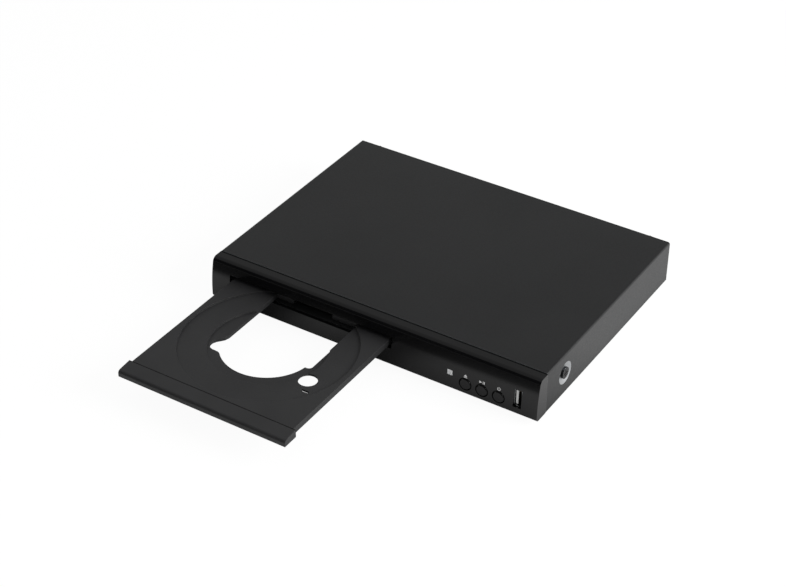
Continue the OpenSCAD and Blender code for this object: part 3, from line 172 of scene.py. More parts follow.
def layPaper():
    side, front, rear = studio["floorSide"], studio["floorFront"], studio["floorRear"]
    mesh = bpy.data.meshes.new("floorPaper")
    corners = [(-side, front, 0), (side, front, 0), (side, rear, 0), (-side, rear, 0)]
    mesh.from_pydata(corners, [], [(0, 1, 2, 3)])
    floor = bpy.data.objects.new("floorPaper", mesh)
    scene.collection.objects.link(floor)
    paper = bpy.data.materials.new("whitePaper")
    paper.use_nodes = True
    tree = paper.node_tree
    tree.nodes.clear()
    matt = addNode(tree, "ShaderNodeBsdfDiffuse", None, {"Color": hexColour(studio["floorShade"])})
    path, ground = groundRays(tree)
    spot = addNode(tree, "ShaderNodeTexCoord")
    along = addNode(tree, "ShaderNodeSeparateXYZ", None, {0: spot.outputs["Object"]})
    weight = addNode(tree, "ShaderNodeLayerWeight", None, {"Blend": 0.5})
    (steep, flat), (bright, dim) = studio["flatRay"], studio["rayTone"]
    near = addNode(tree, "ShaderNodeMapRange", smooth,
                   {"Value": weight.outputs["Facing"], "From Min": steep, "From Max": flat,
                    "To Min": bright, "To Max": dim})
    shade = addNode(tree, "ShaderNodeAmbientOcclusion", {"samples": studio["shadowSamples"]},
                    {"Distance": studio["shadowReach"]})
    deep = addNode(tree, "ShaderNodeMath", {"operation": "POWER"},
                   {0: shade.outputs["AO"], 1: studio["shadowDepth"]})
    lit = addNode(tree, "ShaderNodeMath", product, {0: near.outputs[0], 1: deep.outputs[0]})
    edge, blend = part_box("top_cover")[1].x, studio["rightEdge"]
    (begin, full), (most, least) = studio["rightFade"], studio["rightShare"]
    fade = addNode(tree, "ShaderNodeMapRange", None,
                   {"Value": along.outputs["Y"], "From Min": begin, "From Max": full,
                    "To Min": most, "To Max": least})
    share = addNode(tree, "ShaderNodeMapRange", None,
                    {"Value": along.outputs["X"], "From Min": edge - blend, "From Max": edge + blend,
                     "To Min": 1.0, "To Max": fade.outputs[0]})
    # share of the painted shadow that glossy rays see on the floor
    applied = addNode(tree, "ShaderNodeMath", product,
                   {0: share.outputs[0], 1: path.outputs["Is Glossy Ray"]})
    tone = addNode(tree, "ShaderNodeMix", rgbMix,
                   {0: applied.outputs[0], 6: white, 7: lit.outputs[0]})
    glow = addNode(tree, "ShaderNodeEmission", None,
                   {"Color": tone.outputs[2], "Strength": studio["floorPower"]})
    seen = addNode(tree, "ShaderNodeMath", product, {0: ground, 1: studio["floorGlow"]})
    both = addNode(tree, "ShaderNodeMixShader", None,
                   {0: seen.outputs[0], 1: matt.outputs[0], 2: glow.outputs[0]})
    addNode(tree, "ShaderNodeOutputMaterial", None, {"Surface": both.outputs[0]})
    mesh.materials.append(paper)


scene.view_settings.view_transform = "Standard"
placeCamera()
lightRoom()
layPaper()
hangSoftbox("keySoftbox", studio["keyPlace"], studio["keySize"], studio["keyPower"])
print("studio set")


# finishes

# levels of each noise, and of the turn at an edge, over which a finish changes
finishLevel = {"drift": (0.35, 0.65), "bite": (0.3, 0.7), "edge": (0.985, 0.8),
               "driftDetail": 2.0, "biteDetail": 3.0, "edgeSamples": 4}


# a surface with a slow drift of tint, a fine bite in gloss and height,
# and soft edges with a lighter tint along them: a painted highlight, on some finishes also rubbing
def makeFinish(spec):
    material = bpy.data.materials.new(spec["name"])
    material.use_nodes = True
    tree = material.node_tree
    tree.nodes.clear()
    where = addNode(tree, "ShaderNodeTexCoord").outputs["Object"]
    drift = addNode(tree, "ShaderNodeTexNoise", None,
                    {"Vector": where, "Scale": 1 / (spec["tintMm"] * mm),
                     "Detail": finishLevel["driftDetail"]})
    bite = addNode(tree, "ShaderNodeTexNoise", None,
                   {"Vector": where, "Scale": 1 / (spec["grainMm"] * mm),
                    "Detail": finishLevel["biteDetail"]})
    low, high = finishLevel["drift"]
    tint = addNode(tree, "ShaderNodeMapRange", None,
                   {"Value": drift.outputs[0], "From Min": low, "From Max": high})
    colour = addNode(tree, "ShaderNodeMix", rgbMix,
                     {0: tint.outputs[0], 6: hexColour(spec["low"]), 7: hexColour(spec["high"])}).outputs[2]
    if "paint" in spec:
        colour = spec["paint"](tree, where, colour)
    soft = addNode(tree, "ShaderNodeBevel", {"samples": finishLevel["edgeSamples"]},
                   {"Radius": spec["edgeMm"] * mm})
    flat = addNode(tree, "ShaderNodeNewGeometry")
    turn = addNode(tree, "ShaderNodeVectorMath", {"operation": "DOT_PRODUCT"},
                   {0: soft.outputs[0], 1: flat.outputs["Normal"]})
    # painted highlight: the edge tint is mixed in where the softened normal turns from the flat one
    low, high = finishLevel["edge"]
    rubAndGlint = addNode(tree, "ShaderNodeMapRange", None,
                  {"Value": turn.outputs["Value"], "From Min": low, "From Max": high, "To Max": spec["rubAndGlint"]})
    colour = addNode(tree, "ShaderNodeMix", rgbMix,
                     {0: rubAndGlint.outputs[0], 6: colour, 7: hexColour(spec["rubAndGlintTint"])}).outputs[2]
    low, high = finishLevel["bite"]
    rough = addNode(tree, "ShaderNodeMapRange", None,
                    {"Value": bite.outputs[0], "From Min": low, "From Max": high,
                     "To Min": spec["rough"][0], "To Max": spec["rough"][1]})
    relief = addNode(tree, "ShaderNodeBump", None,
                     {"Distance": spec["reliefMm"] * mm, "Height": bite.outputs[0],
                      "Normal": soft.outputs[0]})
    shader = addNode(tree, "ShaderNodeBsdfPrincipled", None,
                     {"Base Color": colour, "Roughness": rough.outputs[0], "Normal": relief.outputs[0],
                      **spec.get("sockets", {})})
    if "metalWhere" in spec:
        tree.links.new(spec["metalWhere"](tree, where), shader.inputs["Metallic"])
    addNode(tree, "ShaderNodeOutputMaterial", None, {"Surface": shader.outputs[0]})
    return material


def dress(finish, *nodes):
    for node in nodes:
        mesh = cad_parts[node].data
        mesh.materials.clear()
        mesh.materials.append(finish)


# 1 where the place lies between two levels of one axis, and 0 elsewhere
def between(tree, where, axis, low, high):
    level = addNode(tree, "ShaderNodeSeparateXYZ", None, {0: where}).outputs[axis]
    above = addNode(tree, "ShaderNodeMath", {"operation": "GREATER_THAN"}, {0: level, 1: low})
    below = addNode(tree, "ShaderNodeMath", {"operation": "LESS_THAN"}, {0: level, 1: high})
    return addNode(tree, "ShaderNodeMath", product,
                   {0: above.outputs[0], 1: below.outputs[0]}).outputs[0]


coverHighlight = {
    "dimple": 8.2,        # mm, radius of the painted highlight round the side screws
    "edgeHighlightDepth": 0.15,      # mm, depth of the painted highlight along the front edge
    "edgeHighlightTint": "#505254",
    "dimpleHighlightTint": "#b4b6b8",
}


# 1 in the dimples round the side screws, where pale metal is painted in as a highlight on the dimple's cone
def dimpleHighlight(tree, where):
    low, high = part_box("cover_side_screws")
    axis = addNode(tree, "ShaderNodeSeparateXYZ", None, {0: where})
    flat = addNode(tree, "ShaderNodeCombineXYZ", None, {1: axis.outputs[1], 2: axis.outputs[2]})
    away = addNode(tree, "ShaderNodeVectorMath", {"operation": "DISTANCE"},
                   {0: flat.outputs[0], 1: (0, (low.y + high.y) / 2, (low.z + high.z) / 2)})
    return addNode(tree, "ShaderNodeMath", {"operation": "LESS_THAN"},
                   {0: away.outputs["Value"], 1: coverHighlight["dimple"] * mm}).outputs[0]


# painted highlights: a paler line along the front edge of the sheet, and pale metal in the dimples
def coverHighlights(tree, where, colour):
    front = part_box("top_cover")[0].y
    edged = addNode(tree, "ShaderNodeMix", rgbMix,
                    {0: between(tree, where, 1, front - mm, front + coverHighlight["edgeHighlightDepth"] * mm),
                     6: colour, 7: hexColour(coverHighlight["edgeHighlightTint"])})
    return addNode(tree, "ShaderNodeMix", rgbMix,
                   {0: dimpleHighlight(tree, where), 6: edged.outputs[2],
                    7: hexColour(coverHighlight["dimpleHighlightTint"])}).outputs[2]


# folded steel with a baked powder coat: satin black with a soft orange peel, and painted highlights along its
# front edge and in the dimples
coverCoat = makeFinish({
    "name": "powderCoatedCover", "low": "#101112", "high": "#151617",
    "paint": coverHighlights, "metalWhere": dimpleHighlight, "tintMm": 60, "grainMm": 0.8, "reliefMm": 0.012,
    "rough": (0.38, 0.5), "edgeMm": 0.3, "rubAndGlint": 0.0, "rubAndGlintTint": "#333435", "sockets": {"IOR": 1.5},
})
# the same coat on the rear panel, with a painted highlight along its edges
powderCoat = makeFinish({
    "name": "powderCoatedSteel", "low": "#161718", "high": "#1b1c1d", "tintMm": 60, "grainMm": 0.8,
    "reliefMm": 0.012, "rough": (0.38, 0.5), "edgeMm": 0.3, "rubAndGlint": 0.5, "rubAndGlintTint": "#333435",
    "sockets": {"IOR": 1.5},
})
# ABS from a polished tool: deep black with a mirror that is a little soft
polishedAbs = makeFinish({
    "name": "polishedAbs", "low": "#0a0a0b", "high": "#0d0d0e", "tintMm": 30, "grainMm": 1.2,
    "reliefMm": 0.002, "rough": (0.08, 0.13), "edgeMm": 0.25, "rubAndGlint": 0.2, "rubAndGlintTint": "#1d1d1f",
    "sockets": {"IOR": 1.46},
})
# shadow line where the door meets the tray, mm
doorJoint = {"wide": 0.45, "rise": 1.2, "tint": "#060606"}


# a dark line that gives back no light: its colour is near black and its gloss takes that colour
def jointShade(tree, where):
    rear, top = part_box("tray_door")[1].y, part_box("disc_tray")[1].z
    wide, rise = doorJoint["wide"] * mm, doorJoint["rise"] * mm
    return addNode(tree, "ShaderNodeMath", product,
                   {0: between(tree, where, 1, rear - wide, rear + wide),
                    1: between(tree, where, 2, top - rise, beyond)}).outputs[0]


def jointLine(tree, where, colour):
    return addNode(tree, "ShaderNodeMix", rgbMix,
                   {0: jointShade(tree, where), 6: colour, 7: hexColour(doorJoint["tint"])}).outputs[2]


# ABS from a spark-eroded tool: even matt black with a fine bite
sparkAbs = makeFinish({
    "name": "sparkErodedAbs", "low": "#262627", "high": "#2b2b2c", "paint": jointLine,
    "metalWhere": jointShade, "tintMm": 35, "grainMm": 0.5, "reliefMm": 0.014, "rough": (0.42, 0.58),
    "edgeMm": 0.3, "rubAndGlint": 0.4, "rubAndGlintTint": "#343435", "sockets": {"IOR": 1.5},
})
# ABS with the even satin of a vapour-blasted tool, as on the door; its tint, lighter than the tray's, is
# painted light for the door's sloping top
satinAbs = makeFinish({
    "name": "satinAbs", "low": "#2b2b2c", "high": "#2f2f30", "paint": jointLine,
    "metalWhere": jointShade, "tintMm": 25, "grainMm": 0.6, "reliefMm": 0.008, "rough": (0.42, 0.52),
    "edgeMm": 0.5, "rubAndGlint": 0.2, "rubAndGlintTint": "#343435", "sockets": {"IOR": 1.5},
})
# the same ABS as small caps with softer edges
capAbs = makeFinish({
    "name": "buttonCapAbs", "low": "#070708", "high": "#0a0a0b", "tintMm": 12, "grainMm": 2.5,
    "reliefMm": 0.003, "rough": (0.14, 0.22), "edgeMm": 0.35, "rubAndGlint": 0.3, "rubAndGlintTint": "#1f1f21",
    "sockets": {"IOR": 1.44},
})
# polycarbonate light guide: milky and pale
milkyGuide = makeFinish({
    "name": "milkyPolycarbonate", "low": "#e2e4e5", "high": "#f0f1f1", "tintMm": 4, "grainMm": 0.8,
    "reliefMm": 0.002, "rough": (0.2, 0.3), "edgeMm": 0.2, "rubAndGlint": 0.3, "rubAndGlintTint": "#f6f7f7",
    "sockets": {"IOR": 1.58, "Subsurface Weight": 0.2, "Subsurface Radius": (mm, mm, mm)},
})


zincCrystal = {"across": 6, "pale": "#c2c5c7"}      # mm


# hot-dip zinc freezes in flat crystals, each a little lighter or darker
def zincSpangle(tree, where, colour):
    cells = addNode(tree, "ShaderNodeTexVoronoi", None,
                    {"Vector": where, "Scale": 1 / (zincCrystal["across"] * mm)})
    shade = addNode(tree, "ShaderNodeSeparateColor", None, {0: cells.outputs["Color"]})
    return addNode(tree, "ShaderNodeMix", rgbMix,
                   {0: shade.outputs[0], 6: colour, 7: hexColour(zincCrystal["pale"])}).outputs[2]


galvanised = makeFinish({
    "name": "galvanisedSteel", "low": "#96999c", "high": "#a4a7a9", "paint": zincSpangle, "tintMm": 30,
    "grainMm": 0.9, "reliefMm": 0.004, "rough": (0.3, 0.45), "edgeMm": 0.15, "rubAndGlint": 0.5, "rubAndGlintTint": "#cfd1d2",
    "sockets": {"Metallic": 1.0},
})
# ground and turned steel: bright, with the faint lines of the tool
groundSteel = makeFinish({
    "name": "groundSteel", "low": "#b4b6b8", "high": "#c6c8ca", "tintMm": 5, "grainMm": 0.3,
    "reliefMm": 0.002, "rough": (0.18, 0.3), "edgeMm": 0.12, "rubAndGlint": 0.5, "rubAndGlintTint": "#dadbdc",
    "sockets": {"Metallic": 1.0},
})
# blackened steel screws: dark oxide, rubbed bright at the rim of the cross, and lighter along every edge as a
# painted highlight
blackOxide = makeFinish({
    "name": "blackOxideSteel", "low": "#1d1e20", "high": "#2a2b2d", "tintMm": 3, "grainMm": 0.4,
    "reliefMm": 0.004, "rough": (0.3, 0.45), "edgeMm": 0.2, "rubAndGlint": 0.8, "rubAndGlintTint": "#8c8d8f",
    "sockets": {"Metallic": 1.0},
})
# moulded rubber: dull and faintly dusty
footRubber = makeFinish({
    "name": "mouldedRubber", "low": "#121212", "high": "#1b1b1b", "tintMm": 8, "grainMm": 0.5,
    "reliefMm": 0.015, "rough": (0.7, 0.85), "edgeMm": 0.4, "rubAndGlint": 0.4, "rubAndGlintTint": "#2b2b2b",
    "sockets": {"IOR": 1.52},
})
# polystyrene of the loader: matt charcoal with flow marks
frameStyrene = makeFinish({
    "name": "mouldedPolystyrene", "low": "#1d1e1f", "high": "#272829", "tintMm": 22, "grainMm": 0.6,
    "reliefMm": 0.008, "rough": (0.45, 0.6), "edgeMm": 0.25, "rubAndGlint": 0.4, "rubAndGlintTint": "#3a3b3c",
    "sockets": {"IOR": 1.59},
})
# acetal gears: waxy off-white
gearAcetal = makeFinish({
    "name": "mouldedAcetal", "low": "#dcd7c8", "high": "#e9e5d8", "tintMm": 6, "grainMm": 0.5,
    "reliefMm": 0.004, "rough": (0.3, 0.42), "edgeMm": 0.12, "rubAndGlint": 0.4, "rubAndGlintTint": "#f2efe6",
    "sockets": {"IOR": 1.48},
})
# free-cutting brass: warm, with turning lines
turnedBrass = makeFinish({
    "name": "turnedBrass", "low": "#b58d47", "high": "#c9a25a", "tintMm": 3, "grainMm": 0.25,
    "reliefMm": 0.002, "rough": (0.2, 0.32), "edgeMm": 0.1, "rubAndGlint": 0.5, "rubAndGlintTint": "#e2c483",
    "sockets": {"Metallic": 1.0},
})


# tracks 1.3 mm apart: sizes in units of 5 mm, patches in mm
boardTrack = {"unit": 5, "wide": 0.045, "length": 1.4, "pitch": 0.26, "soft": 0.1, "spread": 0.25,
              "patch": 14, "patchEdge": (0.45, 0.5), "copper": "#2f7049"}


# green solder mask: copper tracks show through as paler lines, in patches
def maskTracks(tree, where, colour):
    t = boardTrack
    rows = addNode(tree, "ShaderNodeTexBrick", {"offset": 0.5, "squash": 0.6, "squash_frequency": 3},
                   {"Vector": where, "Scale": 1 / (t["unit"] * mm), "Mortar Size": t["wide"],
                    "Mortar Smooth": t["soft"], "Brick Width": t["length"], "Row Height": t["pitch"],
                    "Color1": (0, 0, 0, 1), "Color2": (t["spread"], t["spread"], t["spread"], 1),
                    "Mortar": white})
    routed = addNode(tree, "ShaderNodeTexNoise", None,
                     {"Vector": where, "Scale": 1 / (t["patch"] * mm), "Detail": 1.0})
    low, high = t["patchEdge"]
    patch = addNode(tree, "ShaderNodeMapRange", None,
                    {"Value": routed.outputs[0], "From Min": low, "From Max": high})
    lines = addNode(tree, "ShaderNodeMath", product, {0: rows.outputs[0], 1: patch.outputs[0]})
    return addNode(tree, "ShaderNodeMix", rgbMix,
                   {0: lines.outputs[0], 6: colour, 7: hexColour(t["copper"])}).outputs[2]


boardMask = makeFinish({
    "name": "greenSolderMask", "low": "#113f28", "high": "#15482f", "paint": maskTracks, "tintMm": 20,
    "grainMm": 0.5, "reliefMm": 0.004, "rough": (0.25, 0.36), "edgeMm": 0.1, "rubAndGlint": 0.6, "rubAndGlintTint": "#a08a52",
    "sockets": {"IOR": 1.5},
})
# phenolic paper board: tan laminate with pressed fibres
phenolicPaper = makeFinish({
    "name": "phenolicPaper", "low": "#7b5a2e", "high": "#94713f", "tintMm": 9, "grainMm": 0.6,
    "reliefMm": 0.006, "rough": (0.4, 0.55), "edgeMm": 0.1, "rubAndGlint": 0.5, "rubAndGlintTint": "#b3925f",
    "sockets": {"IOR": 1.5},
})
# transfer-moulded epoxy: matt black with a sandy grain
chipEpoxy = makeFinish({
    "name": "mouldedEpoxy", "low": "#161718", "high": "#1d1e1f", "tintMm": 6, "grainMm": 0.3,
    "reliefMm": 0.006, "rough": (0.5, 0.65), "edgeMm": 0.12, "rubAndGlint": 0.3, "rubAndGlintTint": "#2e2f30",
    "sockets": {"IOR": 1.55},
})


canTop = {"bare": 0.25, "tint": "#c3c6c8"}      # mm


# shrink sleeve over an aluminium can, which shows at the top of each capacitor
def sleevedCan(name, node):
    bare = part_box(node)[1].z - canTop["bare"] * mm
    return makeFinish({
        "name": name, "low": "#182030", "high": "#1f2839", "tintMm": 10, "grainMm": 0.5,
        "paint": lambda tree, where, colour: addNode(
            tree, "ShaderNodeMix", rgbMix,
            {0: between(tree, where, 2, bare, beyond), 6: colour, 7: hexColour(canTop["tint"])}).outputs[2],
        "metalWhere": lambda tree, where: between(tree, where, 2, bare, beyond),
        "reliefMm": 0.003, "rough": (0.25, 0.38), "edgeMm": 0.3, "rubAndGlint": 0.2, "rubAndGlintTint": "#55606f",
    })


tape = {"below": 0.25, "above": 0.2, "yellow": "#c9a62c"}      # shares of the height left bare


# ferrite core with yellow polyester tape round the winding
def windingTape(tree, where, colour):
    low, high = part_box("power_transformer")
    height = high.z - low.z
    taped = between(tree, where, 2, low.z + tape["below"] * height, high.z - tape["above"] * height)
    return addNode(tree, "ShaderNodeMix", rgbMix,
                   {0: taped, 6: colour, 7: hexColour(tape["yellow"])}).outputs[2]


tapedFerrite = makeFinish({
    "name": "tapedFerrite", "low": "#262627", "high": "#303031", "paint": windingTape, "tintMm": 8,
    "grainMm": 0.7, "reliefMm": 0.006, "rough": (0.35, 0.5), "edgeMm": 0.25, "rubAndGlint": 0.3, "rubAndGlintTint": "#4b4b4c",
})
# bright tin plate over steel: clear with a faint bloom
tinPlate = makeFinish({
    "name": "tinPlate", "low": "#bfc1c2", "high": "#cdd0d1", "tintMm": 5, "grainMm": 0.5,
    "reliefMm": 0.0015, "rough": (0.16, 0.28), "edgeMm": 0.1, "rubAndGlint": 0.4, "rubAndGlintTint": "#dddfe0",
    "sockets": {"Metallic": 1.0},
})


# lengths from the sleeve's end, mm
plugSleeve = {"sleeve": 7.3, "collar": 9.6, "white": "#d9d9d4", "red": "#9d201c", "plate": "#c8b68a"}


def socketMetal(tree, where):
    return between(tree, where, 1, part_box("round_sockets")[1].y - plugSleeve["sleeve"] * mm, beyond)


# round sockets: plated sleeve outside, a white or red collar at the panel, dark moulding behind
def socketRings(tree, where, colour):
    low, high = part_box("round_sockets")
    end, middle = high.y, (low.x + high.x) / 2
    collar = addNode(tree, "ShaderNodeMix", rgbMix,
                     {0: between(tree, where, 0, middle, beyond),
                      6: hexColour(plugSleeve["white"]), 7: hexColour(plugSleeve["red"])})
    ringed = addNode(tree, "ShaderNodeMix", rgbMix,
                     {0: between(tree, where, 1, end - plugSleeve["collar"] * mm, beyond),
                      6: colour, 7: collar.outputs[2]})
    return addNode(tree, "ShaderNodeMix", rgbMix,
                   {0: socketMetal(tree, where), 6: ringed.outputs[2],
                    7: hexColour(plugSleeve["plate"])}).outputs[2]


plugSocket = makeFinish({
    "name": "platedSocket", "low": "#141415", "high": "#18181a", "paint": socketRings,
    "metalWhere": socketMetal, "tintMm": 6, "grainMm": 0.4, "reliefMm": 0.002, "rough": (0.22, 0.34),
    "edgeMm": 0.2, "rubAndGlint": 0.0, "rubAndGlintTint": plugSleeve["plate"],
})


# mm: place and radius of a pin, and the depth of the inlet that isn't pin at either end
inletPin = {"side": 4.3, "radius": 1.35, "front": 2, "rear": 1, "tint": "#c2c3c0"}


# 1 on the two pins
def inletMetal(tree, where):
    low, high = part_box("mains_inlet")
    axis = addNode(tree, "ShaderNodeSeparateXYZ", None, {0: where})
    side = addNode(tree, "ShaderNodeMath", {"operation": "SUBTRACT"},
                   {0: axis.outputs[0], 1: (low.x + high.x) / 2})
    apart = addNode(tree, "ShaderNodeMath", {"operation": "ABSOLUTE"}, {0: side.outputs[0]})
    flat = addNode(tree, "ShaderNodeCombineXYZ", None, {0: apart.outputs[0], 2: axis.outputs[2]})
    away = addNode(tree, "ShaderNodeVectorMath", {"operation": "DISTANCE"},
                   {0: flat.outputs[0], 1: (inletPin["side"] * mm, 0, (low.z + high.z) / 2)})
    near = addNode(tree, "ShaderNodeMath", {"operation": "LESS_THAN"},
                   {0: away.outputs["Value"], 1: inletPin["radius"] * mm})
    inside = between(tree, where, 1, low.y + inletPin["front"] * mm, high.y - inletPin["rear"] * mm)
    return addNode(tree, "ShaderNodeMath", product, {0: near.outputs[0], 1: inside}).outputs[0]


# mains inlet: black polyamide with two bright pins
inletBody = makeFinish({
    "name": "polyamideInlet", "low": "#151516", "high": "#1a1a1b", "tintMm": 8, "grainMm": 0.5,
    "paint": lambda tree, where, colour: addNode(
        tree, "ShaderNodeMix", rgbMix,
        {0: inletMetal(tree, where), 6: colour, 7: hexColour(inletPin["tint"])}).outputs[2],
    "metalWhere": inletMetal, "reliefMm": 0.006, "rough": (0.35, 0.5), "edgeMm": 0.3, "rubAndGlint": 0.3,
    "rubAndGlintTint": "#2d2d2e",
})


cableStrip = {"pitch": 1.0, "edge": (0.55, 0.65), "tint": "#a9abac"}      # mm


# flat flexible cable: white polyester over tinned strips
# (at scale 1 a band of the wave texture is pi / 10 wide)
def flatCable(name, direction):
    def strips(tree, where, colour):
        waves = addNode(tree, "ShaderNodeTexWave", {"wave_type": "BANDS", "bands_direction": direction},
                        {"Vector": where, "Scale": math.pi / (10 * cableStrip["pitch"] * mm)})
        low, high = cableStrip["edge"]
        strip = addNode(tree, "ShaderNodeMapRange", None,
                        {"Value": waves.outputs[0], "From Min": low, "From Max": high})
        return addNode(tree, "ShaderNodeMix", rgbMix,
                       {0: strip.outputs[0], 6: colour, 7: hexColour(cableStrip["tint"])}).outputs[2]
    return makeFinish({
        "name": name, "low": "#dcdcd9", "high": "#e6e6e3", "paint": strips, "tintMm": 12, "grainMm": 0.6,
        "reliefMm": 0.003, "rough": (0.35, 0.45), "edgeMm": 0.05, "rubAndGlint": 0.2, "rubAndGlintTint": "#f0f0ee",
    })


tonguePaintedLight = {"deep": 0.3, "tint": "#f2f2f0"}      # mm
# insulating polyester tongue of the port, painted light and shade: a white front edge as lit from outside,
# black sides as in shadow
portTongue = makeFinish({
    "name": "polyesterTongue", "low": "#0c0c0d", "high": "#111112", "tintMm": 4, "grainMm": 0.4,
    "paint": lambda tree, where, colour: addNode(
        tree, "ShaderNodeMix", rgbMix,
        {0: between(tree, where, 1, -beyond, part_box("port_tongue")[0].y + tonguePaintedLight["deep"] * mm),
         6: colour, 7: hexColour(tonguePaintedLight["tint"])}).outputs[2],
    "reliefMm": 0.004, "rough": (0.4, 0.5), "edgeMm": 0.1, "rubAndGlint": 0.0, "rubAndGlintTint": "#1c1c1d",
})
# coated lens: blue reflection over a clear moulding
coatedLens = makeFinish({
    "name": "coatedLensGlass", "low": "#31456e", "high": "#3d5584", "tintMm": 3, "grainMm": 1.0,
    "reliefMm": 0.001, "rough": (0.03, 0.08), "edgeMm": 0.2, "rubAndGlint": 0.2, "rubAndGlintTint": "#8ea3c8",
    "sockets": {"IOR": 1.52, "Coat Weight": 0.6},
})
# nickel plate on the clamp's magnet
nickelPlate = makeFinish({
    "name": "nickelPlate", "low": "#a9aaa8", "high": "#b8b9b6", "tintMm": 3, "grainMm": 0.3,
    "reliefMm": 0.002, "rough": (0.22, 0.32), "edgeMm": 0.2, "rubAndGlint": 0.4, "rubAndGlintTint": "#cbccc9",
    "sockets": {"Metallic": 1.0},
})
# screen ink: flat white, slightly raised
screenInk = makeFinish({
    "name": "whiteScreenInk", "low": "#f0f1f0", "high": "#f8f8f8", "tintMm": 2, "grainMm": 0.3,
    "reliefMm": 0.002, "rough": (0.45, 0.55), "edgeMm": 0.02, "rubAndGlint": 0.0, "rubAndGlintTint": "#f8f8f8",
})
# hard gold on the contacts
contactGold = makeFinish({
    "name": "goldPlate", "low": "#c79a3e", "high": "#d8ae55", "tintMm": 2, "grainMm": 0.3,
    "reliefMm": 0.001, "rough": (0.2, 0.3), "edgeMm": 0.03, "rubAndGlint": 0.3, "rubAndGlintTint": "#ecca80",
    "sockets": {"Metallic": 1.0},
})
# tinned leads and end caps
tinnedLead = makeFinish({
    "name": "tinnedLead", "low": "#b2b4b5", "high": "#c2c4c5", "tintMm": 2, "grainMm": 0.3,
    "reliefMm": 0.001, "rough": (0.25, 0.38), "edgeMm": 0.03, "rubAndGlint": 0.3, "rubAndGlintTint": "#d5d7d8",
    "sockets": {"Metallic": 1.0},
})
# fired ceramic of the small capacitors
tanCeramic = makeFinish({
    "name": "tanCeramic", "low": "#6a5a45", "high": "#85715a", "tintMm": 5, "grainMm": 0.3,
    "reliefMm": 0.002, "rough": (0.4, 0.5), "edgeMm": 0.04, "rubAndGlint": 0.3, "rubAndGlintTint": "#a08b72",
})

dress(coverCoat, "top_cover")
dress(powderCoat, "rear_panel")
dress(polishedAbs, "front_bezel")
dress(sparkAbs, "disc_tray")
dress(satinAbs, "tray_door")
dress(capAbs, "eject_button", "play_button", "power_button")
dress(milkyGuide, "indicator_window")
dress(galvanised, "base_pan", "clamp_bridge", "traverse_deck")
dress(groundSteel, "guide_rods", "feed_screw", "loader_screws", "board_screws", "bridge_screws",
      "front_board_screws", "loading_motor", "spindle_motor", "feed_motor")
dress(blackOxide, "cover_side_screws", "cover_rear_screws")
dress(footRubber, "feet", "drive_belt")
dress(frameStyrene, "loader_frame", "slot_collar", "clamp_puck", "turntable", "pickup_sled")
dress(gearAcetal, "drive_gear", "pulley_gear", "lift_slider")
dress(turnedBrass, "motor_pulley")
dress(boardMask, "front_board", "main_board")
dress(phenolicPaper, "power_board")
dress(chipEpoxy, "main_processor", "memory_chips", "tact_switches", "infrared_receiver")
dress(sleevedCan("sleevedCanSmall", "board_capacitors"), "board_capacitors")
dress(sleevedCan("sleevedCanLarge", "power_capacitor"), "power_capacitor")
dress(tapedFerrite, "power_transformer")
dress(tinPlate, "port_shell", "video_socket")
dress(plugSocket, "round_sockets")
dress(inletBody, "mains_inlet")
dress(flatCable("flatCableFront", "X"), "front_cable")
dress(flatCable("flatCableLoader", "Y"), "loader_cable")
dress(portTongue, "port_tongue")
dress(coatedLens, "objective_lens")
dress(nickelPlate, "clamp_magnet")
print("finishes on", len(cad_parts), "nodes")


# printed symbols

def bar(x0, z0, x1, z1):
    return [(x0, z0), (x1, z0), (x1, z1), (x0, z1)]


def ringPart(radius, width, start, end, steps):
    turns = [math.radians(start + (end - start) * i / steps) for i in range(steps + 1)]
    outer = [((radius + width / 2) * math.cos(a), (radius + width / 2) * math.sin(a)) for a in turns]
    inner = [((radius - width / 2) * math.cos(a), (radius - width / 2) * math.sin(a)) for a in turns]
    return [[outer[i], outer[i + 1], inner[i + 1], inner[i]] for i in range(steps)]


# a thin print of flat outlines in x and z, laid on a face whose depth is given at each height
def printInk(name, outlines, depthAt, outward, ink):
    mesh = bpy.data.meshes.new(name)
    form = bmesh.new()
    for outline in outlines:
        top = [form.verts.new((x * mm, (depthAt(z) + outward * ink) * mm, z * mm)) for x, z in outline]
        root = [form.verts.new((x * mm, (depthAt(z) - outward * ink) * mm, z * mm)) for x, z in outline]
        form.faces.new(top)
        form.faces.new(root[::-1])
        for i in range(len(outline)):
            j = (i + 1) % len(outline)
            form.faces.new((top[j], top[i], root[i], root[j]))
    bmesh.ops.recalc_face_normals(form, faces=form.faces)
    form.to_mesh(mesh)
    form.free()
    mesh.materials.append(screenInk)
    piece = bpy.data.objects.new(name, mesh)
    scene.collection.objects.link(piece)
    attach(piece, "case")


frontPrint = {
    "rise": 6.4,          # of a symbol's middle above its button's, mm
    "half": 1.3,          # half the width of a symbol
    "ink": 0.03,
    "faceRadius": 110.0,
    "faceMiddle": 9.5,
}
# outlines in units of the symbol's half width
frontSymbols = {
    "eject_button": [[(-1, -0.3), (1, -0.3), (0, 0.95)], bar(-1, -1, 1, -0.6)],
    "play_button": [[(-1.6, -0.8), (-0.1, 0), (-1.6, 0.8)],
                    bar(0.35, -0.8, 0.72, 0.8), bar(1.1, -0.8, 1.47, 0.8)],
    "power_button": ringPart(radius=0.78, width=0.3, start=128, end=412, steps=28)
                    + [bar(-0.15, 0.15, 0.15, 1.1)],
}


